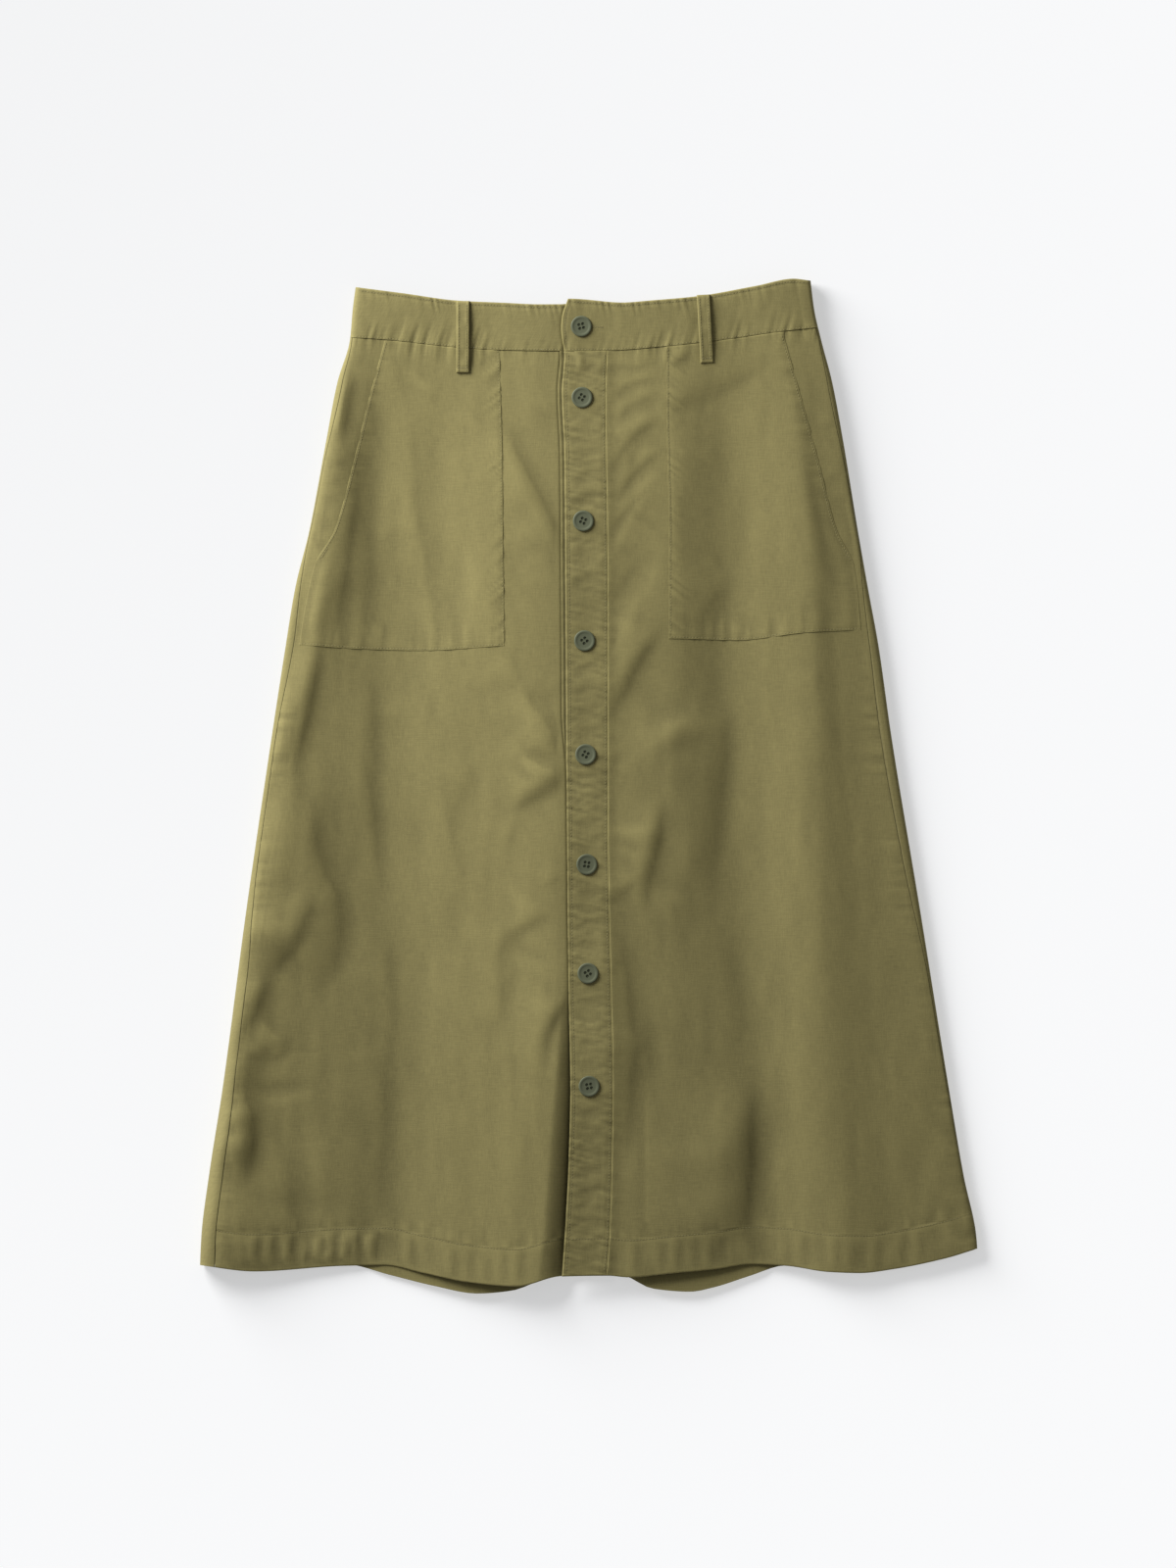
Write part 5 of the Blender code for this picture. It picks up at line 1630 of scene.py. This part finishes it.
def twill_finish():
    """Mottled cloth with fine threads both ways, paler where it is worn, with painted highlight and
    shade lightening or darkening it.
    """
    graph = Graph("olive twill", TWILL, 0.85, **{"Specular IOR Level": 0.25})
    cloth = graph.add("ShaderNodeUVMap", {"uv_map": "cloth"}).outputs[0]
    wear_and_painted_light = graph.value(graph.add("ShaderNodeAttribute", {"attribute_name": "wear_and_painted_light"}), "Fac")
    mottle = graph.noise(cloth, (28, 16, 1), 3) - 0.5
    slub = graph.noise(cloth, (90, 1300, 1), 2) - 0.5
    warp = graph.noise(cloth, (1500, 110, 1), 2) - 0.5
    cloud = graph.noise(cloth, (420, 380, 1), 2) - 0.5
    # Wear, painted highlight and painted shade brighten or darken the cloth's colour
    tone = 1 + mottle * 0.16 + slub * 0.3 + warp * 0.36 + cloud * 0.16 + wear_and_painted_light * 0.22
    graph.feed(graph.shader.inputs["Base Color"], graph.colour_scaled(TWILL, tone))
    grain = graph.noise(cloth, (1400, 900, 1), 2)
    bump = graph.add(
        "ShaderNodeBump", {}, Strength=0.35, Distance=0.0003, Height=grain + slub * 0.6
    )
    graph.feed(graph.shader.inputs["Normal"], bump.outputs[0])
    return graph.material


def plain_finish(name, colour, roughness, **settings):
    return Graph(name, colour, roughness, **settings).material


# The light, the floor and the camera

VIEW_WIDTH, CAMERA_HEIGHT, SENSOR = 0.918, 12.0, 36.0
WINDOW_AROUND, WINDOW_ABOVE = math.radians(138), math.radians(21)
WINDOW_DISTANCE, WINDOW_SIZE, WINDOW_POWER = 2.5, 1.5, 140
WINDOW_SHARE = 0.78
FLOOR_SHADE, FLOOR_GLOW, FLOOR_HEIGHT = 0.47, 0.48, -0.0002
ROOM_LIGHT = 1.045 * (1 - WINDOW_SHARE)


def window_light():
    """A tall soft light low at the upper left."""
    data = bpy.data.lights.new("window", "AREA")
    data.energy, data.shape, data.size = WINDOW_POWER, "SQUARE", WINDOW_SIZE
    lamp = bpy.data.objects.new("window", data)
    level = math.cos(WINDOW_ABOVE)
    x, y = math.cos(WINDOW_AROUND) * level, math.sin(WINDOW_AROUND) * level
    towards = Vector((x, y, math.sin(WINDOW_ABOVE)))
    lamp.location = towards * WINDOW_DISTANCE
    lamp.rotation_euler = towards.to_track_quat("Z", "Y").to_euler()
    bpy.context.scene.collection.objects.link(lamp)


def floor_finish():
    """A white that evens out the light's fall across the floor."""
    glow = {"Emission Color": (0.985, 0.99, 1.0, 1.0), "Emission Strength": FLOOR_GLOW}
    graph = Graph("white surface", (FLOOR_SHADE,) * 3, 0.9, **glow)
    place = graph.add("ShaderNodeTexCoord").outputs["Object"]
    parts = graph.add("ShaderNodeSeparateXYZ", {}, Vector=place)
    x, y = graph.value(parts, "X"), graph.value(parts, "Y")
    towards = x * math.cos(WINDOW_AROUND) + y * math.sin(WINDOW_AROUND)
    level = math.cos(WINDOW_ABOVE)
    apart = WINDOW_DISTANCE**2 - towards * (2 * WINDOW_DISTANCE * level) + x * x + y * y
    fall = (WINDOW_DISTANCE - towards * level) * WINDOW_DISTANCE**3 / (apart * apart)
    even = FLOOR_SHADE / (1 - WINDOW_SHARE + WINDOW_SHARE * fall)
    graph.feed(graph.shader.inputs["Base Color"], graph.colour_scaled((1.0, 1.005, 1.015), even))
    return graph.material


def set_up_room():
    scene = bpy.context.scene
    scene.view_settings.view_transform = "Standard"
    window_light()
    world = bpy.data.worlds.new("room")
    world.use_nodes = True
    colour, strength = world.node_tree.nodes["Background"].inputs[:2]
    colour.default_value, strength.default_value = (1.0, 1.0, 1.0, 1.0), ROOM_LIGHT
    scene.world = world
    bpy.ops.mesh.primitive_plane_add(size=6)
    floor = bpy.context.object
    floor.name = "floor"
    for vert in floor.data.vertices:
        vert.co.z = FLOOR_HEIGHT
    floor.data.materials.append(floor_finish())
    data = bpy.data.cameras.new("camera")
    data.sensor_fit, data.sensor_width = "HORIZONTAL", SENSOR
    data.lens = SENSOR * CAMERA_HEIGHT / VIEW_WIDTH
    camera = bpy.data.objects.new("camera", data)
    camera.location = (-0.0006, 0.0018, CAMERA_HEIGHT)
    scene.collection.objects.link(camera)
    scene.camera = camera


def main():
    bpy.ops.object.select_all(action="DESELECT")
    twill = twill_finish()
    thread = plain_finish("olive thread", THREAD, 0.85)
    horn = plain_finish("olive button", HORN, 0.55, **{"Specular IOR Level": 0.3})
    right, left, behind = right_front(twill), left_front(twill), back(twill)
    front_band = placket(twill)
    right_pocket = pocket("pocket_cloth_right", RIGHT, twill)
    left_pocket = pocket("pocket_cloth_left", LEFT, twill)
    band = waistband(twill)
    form = button_form()
    placket_surface, band_surface = Surface(front_band), Surface(band)
    buttons = [
        button(k, form, band_surface if k == 0 else placket_surface, horn)
        for k in range(len(BUTTONS_Y))
    ]
    bpy.data.objects.remove(form, do_unlink=True)
    sewn = {
        "placket": sew_placket(placket_surface, thread),
        "front_panel_right": sew_panel("right_front_stitches", Surface(right), -292, -22, thread),
        "front_panel_left": sew_panel("left_front_stitches", Surface(left), 17, 292, thread),
        "back_panel": sew_back(Surface(behind), thread),
        "pocket_right": sew_pocket("right_pocket_stitches", RIGHT, Surface(right_pocket), thread),
        "pocket_left": sew_pocket("left_pocket_stitches", LEFT, Surface(left_pocket), thread),
        "waistband": sew_waistband(band_surface, thread),
    }
    back_loops = [name for name, _, _ in BACK_LOOPS]
    for piece, node, rests_on, extra in (
        (right, "front_panel_right", ["back"], []),
        (left, "front_panel_left", ["back"], []),
        (behind, "back_panel", ["floor", *back_loops], []),
        (front_band, "placket", ["right_front"], buttons[1:]),
        (right_pocket, "pocket_right", ["right_front"], []),
        (left_pocket, "pocket_left", ["left_front"], []),
        (band, "waistband", back_loops, buttons[:1]),
    ):
        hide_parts(node)
    loops = [(*row, None, "waistband_cloth") for row in FRONT_LOOPS]
    for name, node, centre in BACK_LOOPS:
        high = float(across(WAIST_TOP, centre)) - BACK_WAIST_DROP
        foot = centre, high - BACK_LOOP_LENGTH
        loops.append((name, node, (centre, high), foot, LOOP_WALL, "floor"))
    for name, node, top, foot, flat_at, under in loops:
        piece = loop(name, top, foot, twill, flat_at)
        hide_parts(node)
        stitches = sew_loop(f"{name}_stitches", piece, top, foot, thread, below=flat_at is not None)
    set_up_room()


main()
